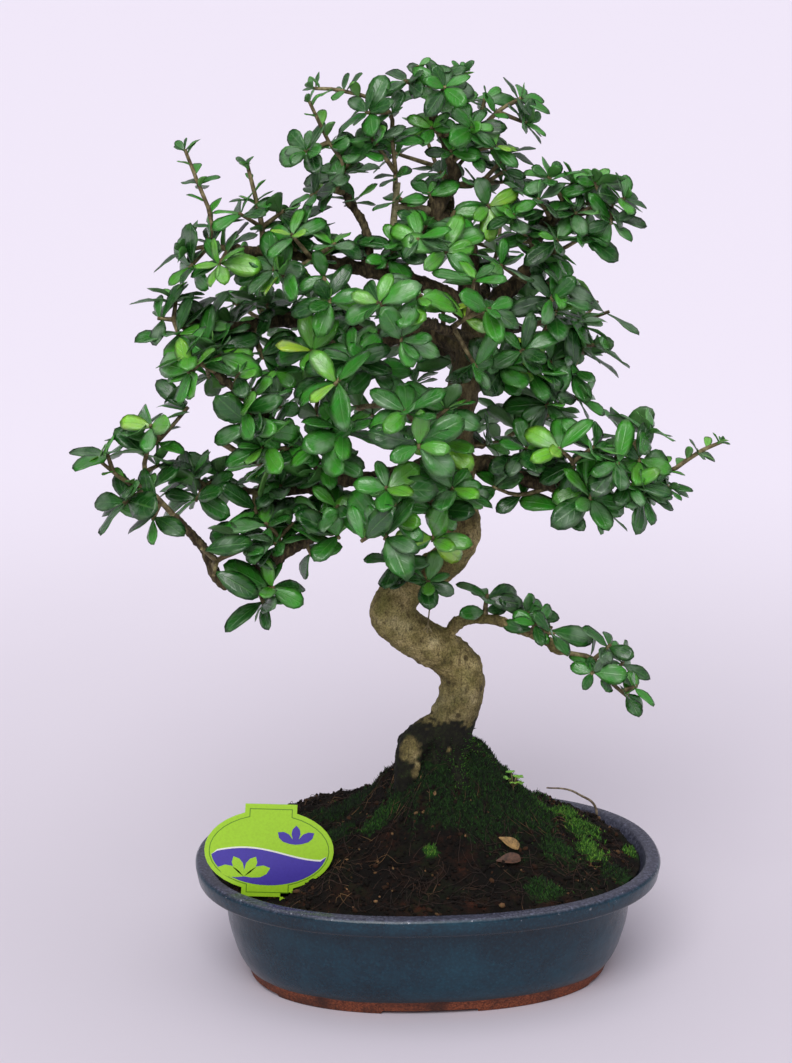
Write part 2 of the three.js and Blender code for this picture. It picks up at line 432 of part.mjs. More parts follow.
// Sprays. Each is a list of twigs: the first starts on the wood, the others on an earlier twig, and
// every twig ends in a rosette of leaves.
const sprays = {
  low_right_end: [[[75, -20, 193], [88, -22, 190], [97, -24, 178], [107, -26, 169]],
    [[88, -22, 190], [97, -24, 199]], [[97, -24, 178], [107, -6, 183]], [[91, -23, 185], [85, -34, 186]],
    [[103, -25, 172], [112, -24, 175]]],
  low_right_fork: [[[30, -10, 211], [30, -10, 218], [31, -10, 225]]],
  low_right_mid: [[[54, -15, 204], [55, -22, 209], [56, -26, 213]], [[55, -22, 209], [66, -26, 206]]],
  low_left_end: [[[-138, -32, 279], [-152, -33, 294], [-161, -35, 298], [-176, -38, 311]],
    [[-152, -33, 294], [-164, -40, 288]], [[-169, -37, 305], [-172, -36, 315]],
    [[-152, -33, 294], [-151, -28, 313], [-144, -26, 319], [-129, -22, 335]],
    [[-144, -26, 319], [-149, -32, 328]], [[-145, -32, 286], [-149, -38, 278]],
    [[-152, -31, 303], [-145, -14, 302]], [[-151, -28, 313], [-158, -20, 318]]],
  low_left_curl: [[[-117, -35, 250], [-116, -44, 257], [-107, -44, 261], [-100, -42, 263]],
    [[-116, -44, 257], [-124, -51, 266]], [[-116, -44, 257], [-118, -54, 252]],
    [[-107, -44, 261], [-106, -34, 269]]],
  low_left_hang: [[[-97, -34, 249], [-94, -36, 239], [-91, -38, 229]],
    [[-94, -36, 239], [-86, -42, 241]]],
  low_left_up: [[[-82, -32, 257], [-83, -34, 266], [-90, -36, 275]], [[-83, -34, 266], [-75, -30, 273]]],
  low_left_inner: [[[-61, -29, 268], [-59, -38, 277], [-52, -46, 286]],
    [[-59, -38, 277], [-52, -52, 270]]],
  mid_left_end: [[[-115, -42, 358], [-123, -44, 363], [-131, -46, 368]],
    [[-123, -44, 363], [-129, -50, 359]], [[-115, -42, 358], [-112, -34, 366]],
    [[-115, -42, 358], [-118, -20, 350]]],
  mid_left_drop: [[[-91, -39, 339], [-97, -44, 337], [-103, -48, 338]],
    [[-97, -44, 337], [-98, -46, 328]]],
  mid_left_heart: [[[-71, -35, 316], [-80, -40, 316], [-92, -46, 318]],
    [[-80, -40, 316], [-84, -35, 307]]],
  mid_left_front: [[[-48, -32, 298], [-53, -46, 313], [-50, -56, 329]],
    [[-53, -46, 313], [-62, -51, 322]]],
  under_left_end: [[[-116, -8, 286], [-121, -8, 289], [-128, -8, 295]],
    [[-116, -8, 286], [-111, 0, 293]], [[-121, -8, 289], [-126, -15, 282]],
    [[-116, -8, 286], [-124, 14, 284]]],
  under_left_mid: [[[-94, -11, 285], [-95, -18, 281], [-94, -22, 276]],
    [[-94, -11, 285], [-89, -2, 292]]],
  upper_mid_left_end: [[[-131, 4, 376], [-144, 0, 378]], [[-131, 4, 376], [-133, -5, 369]],
    [[-131, 4, 376], [-134, 9, 387]], [[-131, 4, 376], [-117, -8, 363]]],
  upper_mid_left_mid: [[[-91, 12, 371], [-92, 4, 364], [-89, 0, 355]], [[-92, 4, 364], [-83, 6, 346]],
    [[-91, 12, 371], [-84, 22, 380]], [[-91, 12, 371], [-104, 34, 366]]],
  upper_mid_left_front: [[[-50, 19, 367], [-52, -8, 365], [-65, -34, 366]],
    [[-52, -8, 365], [-56, -30, 351]], [[-52, -8, 365], [-44, -32, 365], [-44, -54, 364]],
    [[-44, -32, 365], [-33, -46, 357]], [[-44, -54, 364], [-55, -66, 355]]],
  upper_left_end: [[[-105, -14, 417], [-117, -12, 418], [-130, -10, 415]],
    [[-117, -12, 418], [-127, -14, 407]],
    [[-117, -12, 418], [-115, -8, 430], [-122, -4, 451], [-128, 0, 467]],
    [[-105, -14, 417], [-108, 12, 412]]],
  upper_left_shoot: [[[-89, -18, 416], [-89, -14, 428], [-92, -12, 443], [-96, -10, 460]],
    [[-89, -14, 428], [-77, -10, 436]], [[-89, -14, 428], [-101, -17, 436]]],
  upper_left_mid: [[[-63, -20, 412], [-64, -32, 414], [-75, -36, 428]],
    [[-64, -32, 414], [-80, -36, 406]], [[-64, -32, 414], [-58, -44, 405], [-56, -50, 394]],
    [[-64, -32, 414], [-52, -37, 423]], [[-63, -20, 412], [-66, 4, 420], [-74, 22, 424]]],
  left_apex_end: [[[-46, -14, 445], [-55, -14, 447], [-64, -16, 444]],
    [[-46, -14, 445], [-46, -14, 458], [-54, -16, 472], [-64, -16, 493]],
    [[-46, -14, 458], [-37, -18, 469]], [[-54, -16, 472], [-67, -23, 468]],
    [[-46, -14, 445], [-44, 12, 452]]],
  apex_top: [[[1, 0, 485], [-3, 0, 496], [-7, 0, 509]], [[-3, 0, 496], [6, 4, 503]],
    [[1, 0, 485], [11, 4, 492], [17, 6, 505]], [[-3, 0, 496], [-14, -6, 502]]],
  apex_left: [[[2, -2, 433], [-18, -10, 442], [-19, -10, 455], [-21, -10, 473]],
    [[-19, -10, 455], [-32, -17, 474]],
    [[-21, -10, 473], [-22, -8, 486], [-47, -4, 497], [-61, -2, 498]],
    [[-22, -8, 486], [-35, -17, 487]]],
  apex_right: [[[11, 2, 459], [23, 4, 470], [36, 6, 484], [49, 8, 491]], [[23, 4, 470], [30, 8, 492]],
    [[23, 4, 470], [18, -8, 479]], [[36, 6, 484], [51, 4, 478]]],
  apex_mid: [[[12, 2, 447], [27, 6, 446], [41, 8, 453]], [[27, 6, 446], [44, 10, 463]],
    [[27, 6, 446], [31, -2, 434]], [[27, 6, 446], [42, 26, 444]]],
  apex_front: [[[8, 0, 427], [-1, -20, 425], [-10, -35, 424]], [[-1, -20, 425], [5, -37, 417]]],
  upper_right_end: [[[89, 0, 433], [96, -2, 437], [103, -4, 439]], [[89, 0, 433], [87, 2, 447]],
    [[96, -2, 437], [95, -8, 426]], [[89, 0, 433], [86, 24, 432]]],
  upper_right_mid: [[[74, 4, 429], [70, 0, 438], [62, -2, 451]], [[70, 0, 438], [77, 8, 447]]],
  upper_right_inner: [[[55, 10, 406], [67, 2, 410], [83, -4, 420]], [[67, 2, 410], [66, -12, 419]],
    [[55, 10, 406], [49, 0, 422], [43, -8, 432]]],
  upper_right_low: [[[47, 9, 394], [62, 2, 393], [71, -4, 392]], [[62, 2, 393], [64, -10, 386]],
    [[47, 9, 394], [36, -12, 406]]],
  mid_right_end: [[[76, 12, 352], [84, 12, 357], [92, 12, 357]], [[76, 12, 352], [81, 14, 371]],
    [[84, 12, 357], [77, 4, 343]], [[76, 12, 352], [88, 34, 348]]],
  mid_right_low: [[[64, 11, 349], [68, 6, 337], [82, 2, 329]], [[68, 6, 337], [62, -7, 328]]],
  mid_right_up: [[[55, 9, 347], [60, 4, 363], [68, 0, 379]], [[60, 4, 363], [47, -15, 360]]],
  low_right_mid_up: [[[98, -16, 300], [108, -18, 309], [116, -20, 317]],
    [[108, -18, 309], [110, -27, 301]], [[98, -16, 300], [106, 8, 308]],
    [[98, -16, 300], [96, -40, 304]]],
  low_right_shoot: [[[93, -15, 298], [106, -12, 291], [125, -10, 290], [147, -7, 302], [158, -5, 306]],
    [[106, -12, 291], [115, -15, 281]], [[125, -10, 290], [128, -17, 283]]],
  low_right_twig: [[[59, -10, 286], [73, -10, 279], [89, -10, 273]],
    [[59, -10, 286], [46, -16, 282], [32, -21, 288]], [[73, -10, 279], [70, -21, 274]]],
  low_right_heart: [[[75, -12, 290], [74, -26, 302], [65, -35, 312]], [[74, -26, 302], [85, -29, 311]]],
  front_mid_end: [[[-7, -70, 333], [-14, -80, 337], [-21, -88, 346]], [[-14, -80, 337], [-14, -91, 327]],
    [[1, -52, 327], [4, -62, 341]]],
  front_low_end: [[[-21, -66, 291], [-26, -76, 286], [-31, -85, 278]],
    [[-21, -66, 291], [-30, -82, 305]], [[-26, -76, 286], [-43, -84, 277]]],
  front_low_mid: [[[-8, -49, 291], [-2, -56, 283], [-4, -60, 269]], [[-2, -56, 283], [6, -67, 300]]],
  front_up_end: [[[-16, -72, 390], [-24, -82, 395], [-35, -90, 402]], [[-24, -82, 395], [-23, -92, 382]],
    [[-16, -72, 390], [-12, -81, 404]]],
  front_up_mid: [[[6, -40, 377], [14, -56, 387], [25, -64, 393]], [[14, -56, 387], [17, -61, 408]],
    [[6, -40, 377], [20, -46, 358]]],
  trunk_low: [[[-7, -4, 229], [-14, -20, 240], [-20, -28, 250]], [[-14, -20, 240], [-3, -35, 240]]],
  back_low: [[[34, 46, 296], [46, 66, 291], [60, 84, 294], [79, 110, 294]],
    [[60, 84, 294], [50, 105, 298]], [[60, 84, 294], [80, 84, 304]], [[46, 66, 291], [24, 80, 286]]],
  back_middle: [[[2, 46, 350], [-10, 68, 348], [-24, 92, 342], [-39, 116, 344]],
    [[-24, 92, 342], [-6, 104, 352]], [[-24, 92, 342], [-44, 88, 334]], [[-10, 68, 348], [12, 78, 340]]],
  back_up: [[[36, 40, 388], [40, 60, 392], [46, 82, 398], [50, 103, 412]],
    [[46, 82, 398], [66, 94, 400]], [[46, 82, 398], [28, 92, 402]], [[40, 60, 392], [20, 62, 404]]],
  back_left: [[[-14, 56, 316], [-34, 78, 310], [-56, 100, 301], [-75, 118, 303]],
    [[-56, 100, 301], [-52, 114, 314]], [[-56, 100, 301], [-78, 92, 308]],
    [[-34, 78, 310], [-22, 96, 300]]],
  back_right: [[[54, 34, 363], [72, 50, 363], [88, 66, 358], [103, 84, 367]],
    [[88, 66, 358], [106, 60, 366]], [[88, 66, 358], [80, 84, 346]], [[72, 50, 363], [60, 68, 372]]],
  back_apex: [[[12, 26, 440], [8, 44, 450], [2, 64, 468]], [[8, 44, 450], [-14, 56, 456]],
    [[8, 44, 450], [24, 54, 460]], [[11, 32, 443], [26, 30, 462]]],
  back_upper_left: [[[-50, 40, 366], [-68, 54, 366], [-84, 66, 363], [-102, 84, 370]],
    [[-84, 66, 363], [-92, 62, 378]], [[-84, 66, 363], [-82, 88, 354]],
    [[-68, 54, 366], [-58, 74, 374]]],
  back_low_left: [[[-60, 12, 283], [-76, 30, 286], [-92, 46, 287], [-110, 62, 294]],
    [[-92, 46, 287], [-88, 66, 280]], [[-92, 46, 287], [-112, 42, 302]],
    [[-76, 30, 286], [-60, 46, 278]]],
};

// Side twigs shorter than this are left out, and their leaves grow from the nearest twig that is made,
// clear of the wood at the spray's root.
const SHORT_TWIG = 18.5;
const ROOT_LENGTH = 5;
const twigSolid = (route) => stem(route, taper(route.length, TWIG_RADIUS.start, TWIG_RADIUS.end), 3, 1);
const routeLength = (route) => vector(route[0]).distanceTo(vector(route.at(-1)));
const isMade = (route, index) => index === 0 || routeLength(route) > SHORT_TWIG;

function nearestOnTwigs(point, routes) {
  const root = vector(routes[0][0]);
  let nearest = root;
  for (const route of routes) {
    for (let i = 1; i < route.length; i++) {
      const step = new THREE.Line3(vector(route[i - 1]), vector(route[i]));
      const place = step.closestPointToPoint(point, true, new THREE.Vector3());
      if (nearest === root || place.distanceTo(point) < nearest.distanceTo(point)) nearest = place;
    }
  }
  const onward = vector(routes[0][1]).sub(root).normalize();
  return nearest.distanceTo(root) < ROOT_LENGTH ? root.addScaledVector(onward, ROOT_LENGTH) : nearest;
}

// Every side twig starts on an earlier twig, outside the wood
for (const twigs of Object.values(sprays)) {
  twigs.forEach((route, index) => {
    if (index > 0) route[0] = nearestOnTwigs(vector(route[0]), twigs.slice(0, index)).toArray();
  });
}

const obstacles = [];

function addObstacle(solid, owner) {
  obstacles.push({ solid, owner, box: solid.boundingBox() });
}

function boxesMeet(a, b) {
  return [0, 1, 2].every((axis) => a.min[axis] <= b.max[axis] && b.min[axis] <= a.max[axis]);
}

// A leaf is kept only where it clears the wood, the other sprays and the leaves already grown.
function isClear(solid, owner) {
  const box = solid.boundingBox();
  return !obstacles.some((other) => other.owner !== owner && boxesMeet(box, other.box)
    && !solid.intersect(other.solid).isEmpty());
}

fatWoodParts.forEach((solid) => addObstacle(solid, 'wood'));
for (const [name, twigs] of Object.entries(sprays)) {
  twigs.filter(isMade).forEach((route) => addObstacle(twigSolid(route), name));
}

const LEAVES_TRIED = 9;
const SMALL_LEAVED = {
  low_right_end: 0.72, low_right_mid: 0.72, low_right_fork: 0.85, low_right_shoot: 0.6, trunk_low: 0.8,
};
const leavesWanted = (index, rosette) => (index === 0 || rosette % 5 === 0 ? 2 : 1);
let rosette = 0;
for (const [name, twigs] of Object.entries(sprays)) {
  const leaves = [];
  twigs.forEach((route, index) => {
    const end = vector(route.at(-1));
    const heading = end.clone().sub(vector(route.at(-2))).normalize();
    const tip = isMade(route, index) ? end : nearestOnTwigs(end, twigs.filter(isMade));
    let grown = 0;
    for (let k = 0; k < LEAVES_TRIED && grown < leavesWanted(index, rosette); k++) {
      const place = leafPlace(rosette, k, tip, heading, SMALL_LEAVED[name] ?? 1);
      const thick = bladeSolid(place, BLADE.thickness * 2);
      if (isClear(thick, name)) {
        leaves.push(bladeSolid(place, BLADE.thickness));
        addObstacle(thick, 'leaf');
        grown += 1;
      }
    }
    rosette += 1;
  });
  const twigWood = largestBody(joined(twigs.filter(isMade).map(twigSolid)).subtract(fatWood));
  addPiece(`spray_${name}`, largestBody(joined([twigWood, ...leaves])), leafGreen);
}

// Fallen leaves lie on the slope of the soil, a hair clear of it
function fallenLeaf({ x, y, turn, length }) {
  const reach = 4;
  const slope = new THREE.Vector3(soilHeight(x - reach, y) - soilHeight(x + reach, y),
    soilHeight(x, y - reach) - soilHeight(x, y + reach), reach * 2).normalize();
  const along = new THREE.Vector3(Math.cos(turn), Math.sin(turn), 0);
  along.addScaledVector(slope, -along.dot(slope)).normalize();
  const across = new THREE.Vector3().crossVectors(slope, along);
  const bladeAt = (z, thickness) => bladeSolid({
    foot: new THREE.Vector3(x, y, z), along, across, up: slope,
    length, halfWidth: length * 0.27, droop: 0.03,
  }, thickness);
  let z = soilHeight(x, y) - 2;
  while (!bladeAt(z, BLADE.thickness + CLEARANCE * 2).intersect(soil).isEmpty()) {
    z += 0.1;
  }
  return bladeAt(z, BLADE.thickness);
}

addPiece('fallen_leaf_tan', fallenLeaf({ x: 34.6, y: -38.6, turn: -0.52, length: 14 }), dryLeaf);
addPiece('fallen_leaf_brown', fallenLeaf({ x: 31.5, y: -52.1, turn: 0.16, length: 15.5 }), dryLeaf);

const box = new THREE.Box3().setFromObject(bonsai);
const middle = box.getCenter(new THREE.Vector3());
bonsai.position.set(-middle.x, -middle.y, -box.min.z);

export default bonsai;
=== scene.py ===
import math
import random

import bpy
import numpy as np
from mathutils import Matrix, Vector, noise
from mathutils.kdtree import KDTree


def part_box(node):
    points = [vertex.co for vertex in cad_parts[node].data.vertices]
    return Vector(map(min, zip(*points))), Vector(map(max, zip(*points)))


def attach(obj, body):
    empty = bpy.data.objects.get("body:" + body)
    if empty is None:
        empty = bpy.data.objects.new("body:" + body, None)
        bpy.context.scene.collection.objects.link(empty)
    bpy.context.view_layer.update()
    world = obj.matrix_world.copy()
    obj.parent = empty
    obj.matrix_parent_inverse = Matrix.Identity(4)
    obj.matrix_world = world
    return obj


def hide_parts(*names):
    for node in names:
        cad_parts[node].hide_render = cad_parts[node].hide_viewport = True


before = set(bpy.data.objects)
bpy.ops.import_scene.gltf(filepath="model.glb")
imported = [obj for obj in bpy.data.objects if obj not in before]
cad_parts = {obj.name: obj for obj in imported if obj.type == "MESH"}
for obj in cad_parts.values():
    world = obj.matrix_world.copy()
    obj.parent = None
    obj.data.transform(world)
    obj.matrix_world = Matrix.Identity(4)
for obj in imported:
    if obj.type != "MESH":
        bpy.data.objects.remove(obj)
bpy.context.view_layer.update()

# Camera: about a metre and a half in front of the pot, a little to its left and above the crown's foot,
# looking down by 15 degrees through a long lens, as the photograph was taken.
MM = 0.001
LIP_TOP = 72
CAMERA_PITCH = 0.26988
CAMERA_HEADING = 0.08393
CAMERA_LENS = 96.18
pot_low, pot_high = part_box("pot")
POT_MIDDLE = Vector(((pot_low.x + pot_high.x) / 2, (pot_low.y + pot_high.y) / 2, pot_high.z - LIP_TOP * MM))


def at(x, y, z):
    """A point in the part's frame, from millimetres off the place LIP_TOP below the middle of the lip."""
    return POT_MIDDLE + Vector((x, y, z)) * MM


def level_at(z):
    """The height in the part's frame of what lies z millimetres above that same place."""
    return at(0, 0, z).z


bpy.ops.object.select_all(action="DESELECT")
bpy.ops.object.camera_add(
    location=at(-142.3, -1477.7, 668.8),
    rotation=(math.pi / 2 - CAMERA_PITCH, 0, -CAMERA_HEADING),
)
camera = bpy.context.object
camera.data.lens = CAMERA_LENS
camera.data.sensor_width = 36
camera.data.clip_end = 30
bpy.context.scene.camera = camera
bpy.context.scene.view_settings.view_transform = "Standard"

# Floor: a wide sheet of matt paper in a pale lavender white, plain, which runs on behind the plant as its
# backdrop. Its colour carries painted shade, darker round the plant and paler far off, and a noise makes the
# edge of that shade faintly uneven.
FLOOR_SIZE = 14


def hex_colour(code):
    """Linear RGBA from an sRGB hex code."""
    shares = [int(code[i : i + 2], 16) / 255 for i in (1, 3, 5)]
    return tuple(c / 12.92 if c <= 0.04045 else ((c + 0.055) / 1.055) ** 2.4 for c in shares) + (1,)


def add_node(material, kind, values=None, links=None, stops=None, **settings):
    """Adds a shader node, gives it its settings, socket values and colour stops, and links its inputs."""
    made = material.node_tree.nodes.new("ShaderNode" + kind)
    for name, value in settings.items():
        setattr(made, name, value)
    for socket, value in (values or {}).items():
        made.inputs[socket].default_value = value
    for socket, (source, output) in (links or {}).items():
        material.node_tree.links.new(source.outputs[output], made.inputs[socket])
    for index, (place, colour) in enumerate(stops or []):
        marks = made.color_ramp.elements
        mark = marks[index] if index < 2 else marks.new(place)
        mark.position = place
        mark.color = hex_colour(colour)
    return made


def new_material(name):
    """An empty node material with its surface shader and output, and the object's own coordinates."""
    made = bpy.data.materials.new(name)
    made.use_nodes = True
    made.node_tree.nodes.clear()
    shader = add_node(made, "BsdfPrincipled")
    add_node(made, "OutputMaterial", links={"Surface": (shader, "BSDF")})
    return made, shader, add_node(made, "TexCoord")


def link(material, source, output, target, socket):
    """Links one node's output to another's input."""
    material.node_tree.links.new(source.outputs[output], target.inputs[socket])


paper, shader, places = new_material("matt_background_paper")
# Painted shade: the paper is darker near the plant and paler far away; the noise only roughens that shade's
# edge
fibre = add_node(paper, "TexNoise", {"Scale": 3, "Detail": 4}, {"Vector": (places, "Object")})
distance = add_node(paper, "VectorMath", links={0: (places, "Object")}, operation="LENGTH")
shade_unevenness = add_node(paper, "Math", {1: 0.12, 2: 0}, {0: (fibre, "Fac")}, operation="MULTIPLY_ADD")
reach = add_node(paper, "Math", links={0: (distance, "Value"), 1: (shade_unevenness, 0)}, operation="ADD")
painted_shade_share = add_node(paper, "MapRange", {1: 0.3, 2: 1.3}, {0: (reach, 0)}, interpolation_type="SMOOTHSTEP")
white = add_node(paper, "ValToRGB", links={"Fac": (painted_shade_share, 0)}, stops=[(0, "#d8d1dc"), (1, "#eee7f4")])
link(paper, white, "Color", shader, "Base Color")
shader.inputs["Roughness"].default_value = 0.9
bpy.ops.object.select_all(action="DESELECT")
bpy.ops.mesh.primitive_plane_add(size=FLOOR_SIZE, location=(0, 0, 0))
floor = bpy.context.object
floor.name = "floor"
floor.data.materials.append(paper)

# Studio light: one large soft light high in front, a little to the left of the camera, a wider one straight
# above, both far away so that they light the paper evenly, and a pale room that fills the shadows.
# Name, tilt and heading in degrees, how wide the light looks in degrees, strength
SOFT_LIGHTS = [
    ("soft_light_in_front", 46, -16, 36, 1.65),
    ("soft_light_above", 8, 20, 75, 1.15),
]
for name, tilt, heading, width, power in SOFT_LIGHTS:
    bpy.ops.object.light_add(
        type="SUN", location=(0, 0, 3), rotation=(math.radians(tilt), 0, math.radians(heading))
    )
    soft_light = bpy.context.object
    soft_light.name = name
    soft_light.data.angle = math.radians(width)
    soft_light.data.energy = power
room = bpy.data.worlds.new("room")
room.use_nodes = True
room.node_tree.nodes["Background"].inputs["Color"].default_value = hex_colour("#efeaf6")
room.node_tree.nodes["Background"].inputs["Strength"].default_value = 0.38
bpy.context.scene.world = room

# Pot: an oval bonsai pot of slip-cast stoneware. It was dipped in a blue-green glaze that breaks to slate
# grey on the lip, where the faces that look up also carry a painted reflection of the pale room, and its foot
# ring, wiped clean before the firing, shows the bare red-brown body.
# Heights here are counted from 72 mm below the lip, as at() does
FOOT_BOTTOM = 4.5
FLOOR_TOP = 14.5
# The profile as half length and height: from the middle of the underside, round the lip, to the inside
POT_ROWS = [
    (0, 10), (87, 10), (89, FOOT_BOTTOM), (99.5, FOOT_BOTTOM), (101.5, 10.5), (107, 19), (112, 36), (114, 57),
    (128.5, 62), (130, 70), (128.5, LIP_TOP), (122, LIP_TOP), (119, 66), (108, 56), (104, 30),
    (95, FLOOR_TOP), (0, FLOOR_TOP),
]
# Its rounded corners: radius, segments, places in the profile
POT_ROUNDED = [
    (5, 4, [(107, 19), (112, 36), (104, 30), (95, FLOOR_TOP)]),
    (2.6, 5, [(114, 57), (108, 56), (101.5, 10.5)]),
    (1.3, 4, [(128.5, 62), (119, 66), (122, LIP_TOP)]),
    (0.9, 3, [(130, 70), (128.5, LIP_TOP), (87, 10), (89, FOOT_BOTTOM), (99.5, FOOT_BOTTOM)]),
]
POT_STEPS = 224
OVAL_POWER = 2.25
INNER_OVAL = 80
WALL_OFFSET = 33
# Low arches in the foot ring: turn from the front, width, shift to the right, distance from the middle
FOOT_GAPS = [(0, 53, -5, 56.5), (0.5, 76, 0, 89.5), (1, 53, 0, 56.5), (1.5, 76, 0, 89.5)]
GAP_DEPTH = 36
GAP_HEIGHT = 2.2
DRAIN_HOLES = (-44, 44)
DRAIN_RADIUS = 8
DRAIN_SIDES = 48
SMOOTH_UP_TO = 38


def select_only(piece, *others):
    """Selects the given pieces alone and makes the first of them active."""
    bpy.ops.object.select_all(action="DESELECT")
    for one in (piece, *others):
        one.select_set(True)
    bpy.context.view_layer.objects.active = piece


def apply_modifiers(piece):
    """Applies a piece's modifiers, first to last."""
    select_only(piece)
    for modifier in list(piece.modifiers):
        bpy.ops.object.modifier_apply(modifier=modifier.name)


def oval_places(rounds):
    """Moves points of a round turning, in millimetres, to the pot's plan, a superellipse whose walls keep
    one distance from each other."""
    reach = np.hypot(rounds[:, 0], rounds[:, 1])
    angle = np.arctan2(rounds[:, 1], rounds[:, 0])
    depth = np.where(reach > INNER_OVAL, reach - WALL_OFFSET, reach * (1 - WALL_OFFSET / INNER_OVAL))
    cosine, sine = np.cos(angle), np.sin(angle)
    across = reach * np.sign(cosine) * np.abs(cosine) ** (2 / OVAL_POWER)
    back = depth * np.sign(sine) * np.abs(sine) ** (2 / OVAL_POWER)
    return np.column_stack([across, back, rounds[:, 2]])


def points_of(piece):
    """A mesh's vertices as rows of x, y and z."""
    flat = np.empty(len(piece.data.vertices) * 3)
    piece.data.vertices.foreach_get("co", flat)
    return flat.reshape(-1, 3)


def place_points(piece, places_in_mm):
    """Sets a mesh's vertices from millimetres off the place LIP_TOP below the middle of the pot's lip."""
    metres = np.asarray(places_in_mm) * MM + np.array(POT_MIDDLE)
    piece.data.vertices.foreach_set("co", metres.ravel())
    piece.data.update()


def turned_oval(name, rows, rounded, steps):
    """Turns a profile round the upright axis. rows are (half length, height) in millimetres, from axis to
    axis, and rounded lists (radius, segments, rows) for the corners that are rounded."""
    bpy.ops.object.select_all(action="DESELECT")
    bpy.ops.mesh.primitive_circle_add(vertices=len(rows), radius=1)
    piece = bpy.context.object
    piece.name = name
    for vertex, (reach, height) in zip(piece.data.vertices, rows):
        vertex.co = (reach, 0, height)
    for edge in piece.data.edges:
        edge.select = set(edge.vertices) == {0, len(rows) - 1}
    for vertex in piece.data.vertices:
        vertex.select = vertex.index in (0, len(rows) - 1)
    bpy.ops.object.mode_set(mode="EDIT")
    bpy.ops.mesh.select_mode(type="EDGE")
    bpy.ops.mesh.delete(type="EDGE")
    bpy.ops.mesh.select_mode(type="VERT")
    for radius, segments, corners in rounded:
        bpy.ops.mesh.select_all(action="DESELECT")
        bpy.ops.object.mode_set(mode="OBJECT")
        for vertex in piece.data.vertices:
            vertex.select = any(math.hypot(vertex.co.x - x, vertex.co.z - z) < 0.01 for x, z in corners)
        bpy.ops.object.mode_set(mode="EDIT")
        bpy.ops.mesh.bevel(affect="VERTICES", offset=radius, segments=segments)
    bpy.ops.object.mode_set(mode="OBJECT")
    turned = piece.modifiers.new("turned", "SCREW")
    turned.steps = turned.render_steps = steps
    turned.use_merge_vertices = True
    apply_modifiers(piece)
    bpy.ops.object.mode_set(mode="EDIT")
    bpy.ops.mesh.select_all(action="SELECT")
    bpy.ops.mesh.remove_doubles(threshold=0.005)
    bpy.ops.mesh.normals_make_consistent(inside=False)
    bpy.ops.object.mode_set(mode="OBJECT")
    return piece


def cut_away(piece, cutter):
    """Cuts one mesh out of another and deletes the cutter."""
    cut = piece.modifiers.new("cut", "BOOLEAN")
    cut.operation = "DIFFERENCE"
    cut.solver = "EXACT"
    cut.object = cutter
    apply_modifiers(piece)
    bpy.data.objects.remove(cutter)


pot = turned_oval("glazed_pot", POT_ROWS, POT_ROUNDED, POT_STEPS)
place_points(pot, oval_places(points_of(pot)))
for half_turns, width, shift, reach in FOOT_GAPS:
    turn = Matrix.Rotation(half_turns * math.pi, 3, "Z")
    bpy.ops.object.select_all(action="DESELECT")
    bpy.ops.mesh.primitive_cube_add(
        size=1,
        location=at(*(turn @ Vector((shift, -reach, FOOT_BOTTOM)))),
        rotation=(0, 0, half_turns * math.pi),
        scale=(width * MM, GAP_DEPTH * MM, GAP_HEIGHT * 2 * MM),
    )
    gap = bpy.context.object
    bpy.ops.object.mode_set(mode="EDIT")
    bpy.ops.mesh.select_all(action="SELECT")
    bpy.ops.object.mode_set(mode="OBJECT")
    bpy.ops.object.transform_apply(location=False, rotation=False, scale=True)
    soft = gap.modifiers.new("soft", "BEVEL")
    soft.width = 1.2 * MM
    soft.segments = 3
    apply_modifiers(gap)
    cut_away(pot, gap)
for x in DRAIN_HOLES:
    bpy.ops.object.select_all(action="DESELECT")
    bpy.ops.mesh.primitive_cylinder_add(
        vertices=DRAIN_SIDES, radius=DRAIN_RADIUS * MM, depth=30 * MM, location=at(x, 0, 12)
    )
    cut_away(pot, bpy.context.object)
select_only(pot)
bpy.ops.object.shade_smooth_by_angle(angle=math.radians(SMOOTH_UP_TO))

# The lip's inner slope shows the slate colour and its painted reflection too: how far each place faces up and
# in
INNER_LIP_FROM = 58
inner_lip = []
for vertex in pot.data.vertices:
    outward = Vector((vertex.co.x - POT_MIDDLE[0], vertex.co.y - POT_MIDDLE[1], 0)).normalized()
    faces_in = max(0, min(1, (vertex.normal.z - vertex.normal.dot(outward)) * 2 + 0.4))
    inner_lip.append(faces_in if vertex.co.z > level_at(INNER_LIP_FROM) else 0)
pot.data.attributes.new("inner_lip", "FLOAT", "POINT").data.foreach_set("value", inner_lip)

# Heights: the glaze's lower line, the slate lip's edge, the band of painted shade under the lip, and the band
# of painted highlight glints along the lip's outer edge
GLAZE_LINE = 13.3
LIP_EDGE = 70.6
LIP_SHADE_BOTTOM, LIP_SHADE_TOP = 45, 65
GLINT_BOTTOM, GLINT_TOP = 67.5, 70.5
LIP_FLAT_FROM, LIP_FLAT_TO = 71.7, 71.95
# The glaze's lines wander by this much
WANDER = 2.6
glaze, shader, places = new_material("blue_green_stoneware_glaze")
height = add_node(glaze, "SeparateXYZ", links={"Vector": (places, "Object")})
drift = add_node(glaze, "TexNoise", {"Scale": 45, "Detail": 3}, {"Vector": (places, "Object")})
wander = add_node(glaze, "Math", {1: WANDER * MM}, {0: (drift, "Fac")}, operation="MULTIPLY")
level = add_node(glaze, "Math", links={0: (height, "Z"), 1: (wander, 0)}, operation="SUBTRACT")
pools = add_node(
    glaze, "TexNoise", {"Scale": 28, "Detail": 5, "Roughness": 0.6}, {"Vector": (places, "Object")}
)
pool_colour = add_node(
    glaze, "ValToRGB", links={"Fac": (pools, "Fac")},
    stops=[(0.34, "#0a212d"), (0.66, "#104050"), (0.5, "#0c303f")],
)
crystals = add_node(
    glaze, "TexNoise", {"Scale": 620, "Detail": 4, "Roughness": 0.7}, {"Vector": (places, "Object")}
)
crystal_colour = add_node(
    glaze, "ValToRGB", links={"Fac": (crystals, "Fac")},
    stops=[(0.38, "#061822"), (0.72, "#1c5462"), (0.55, "#0c3040")],
)
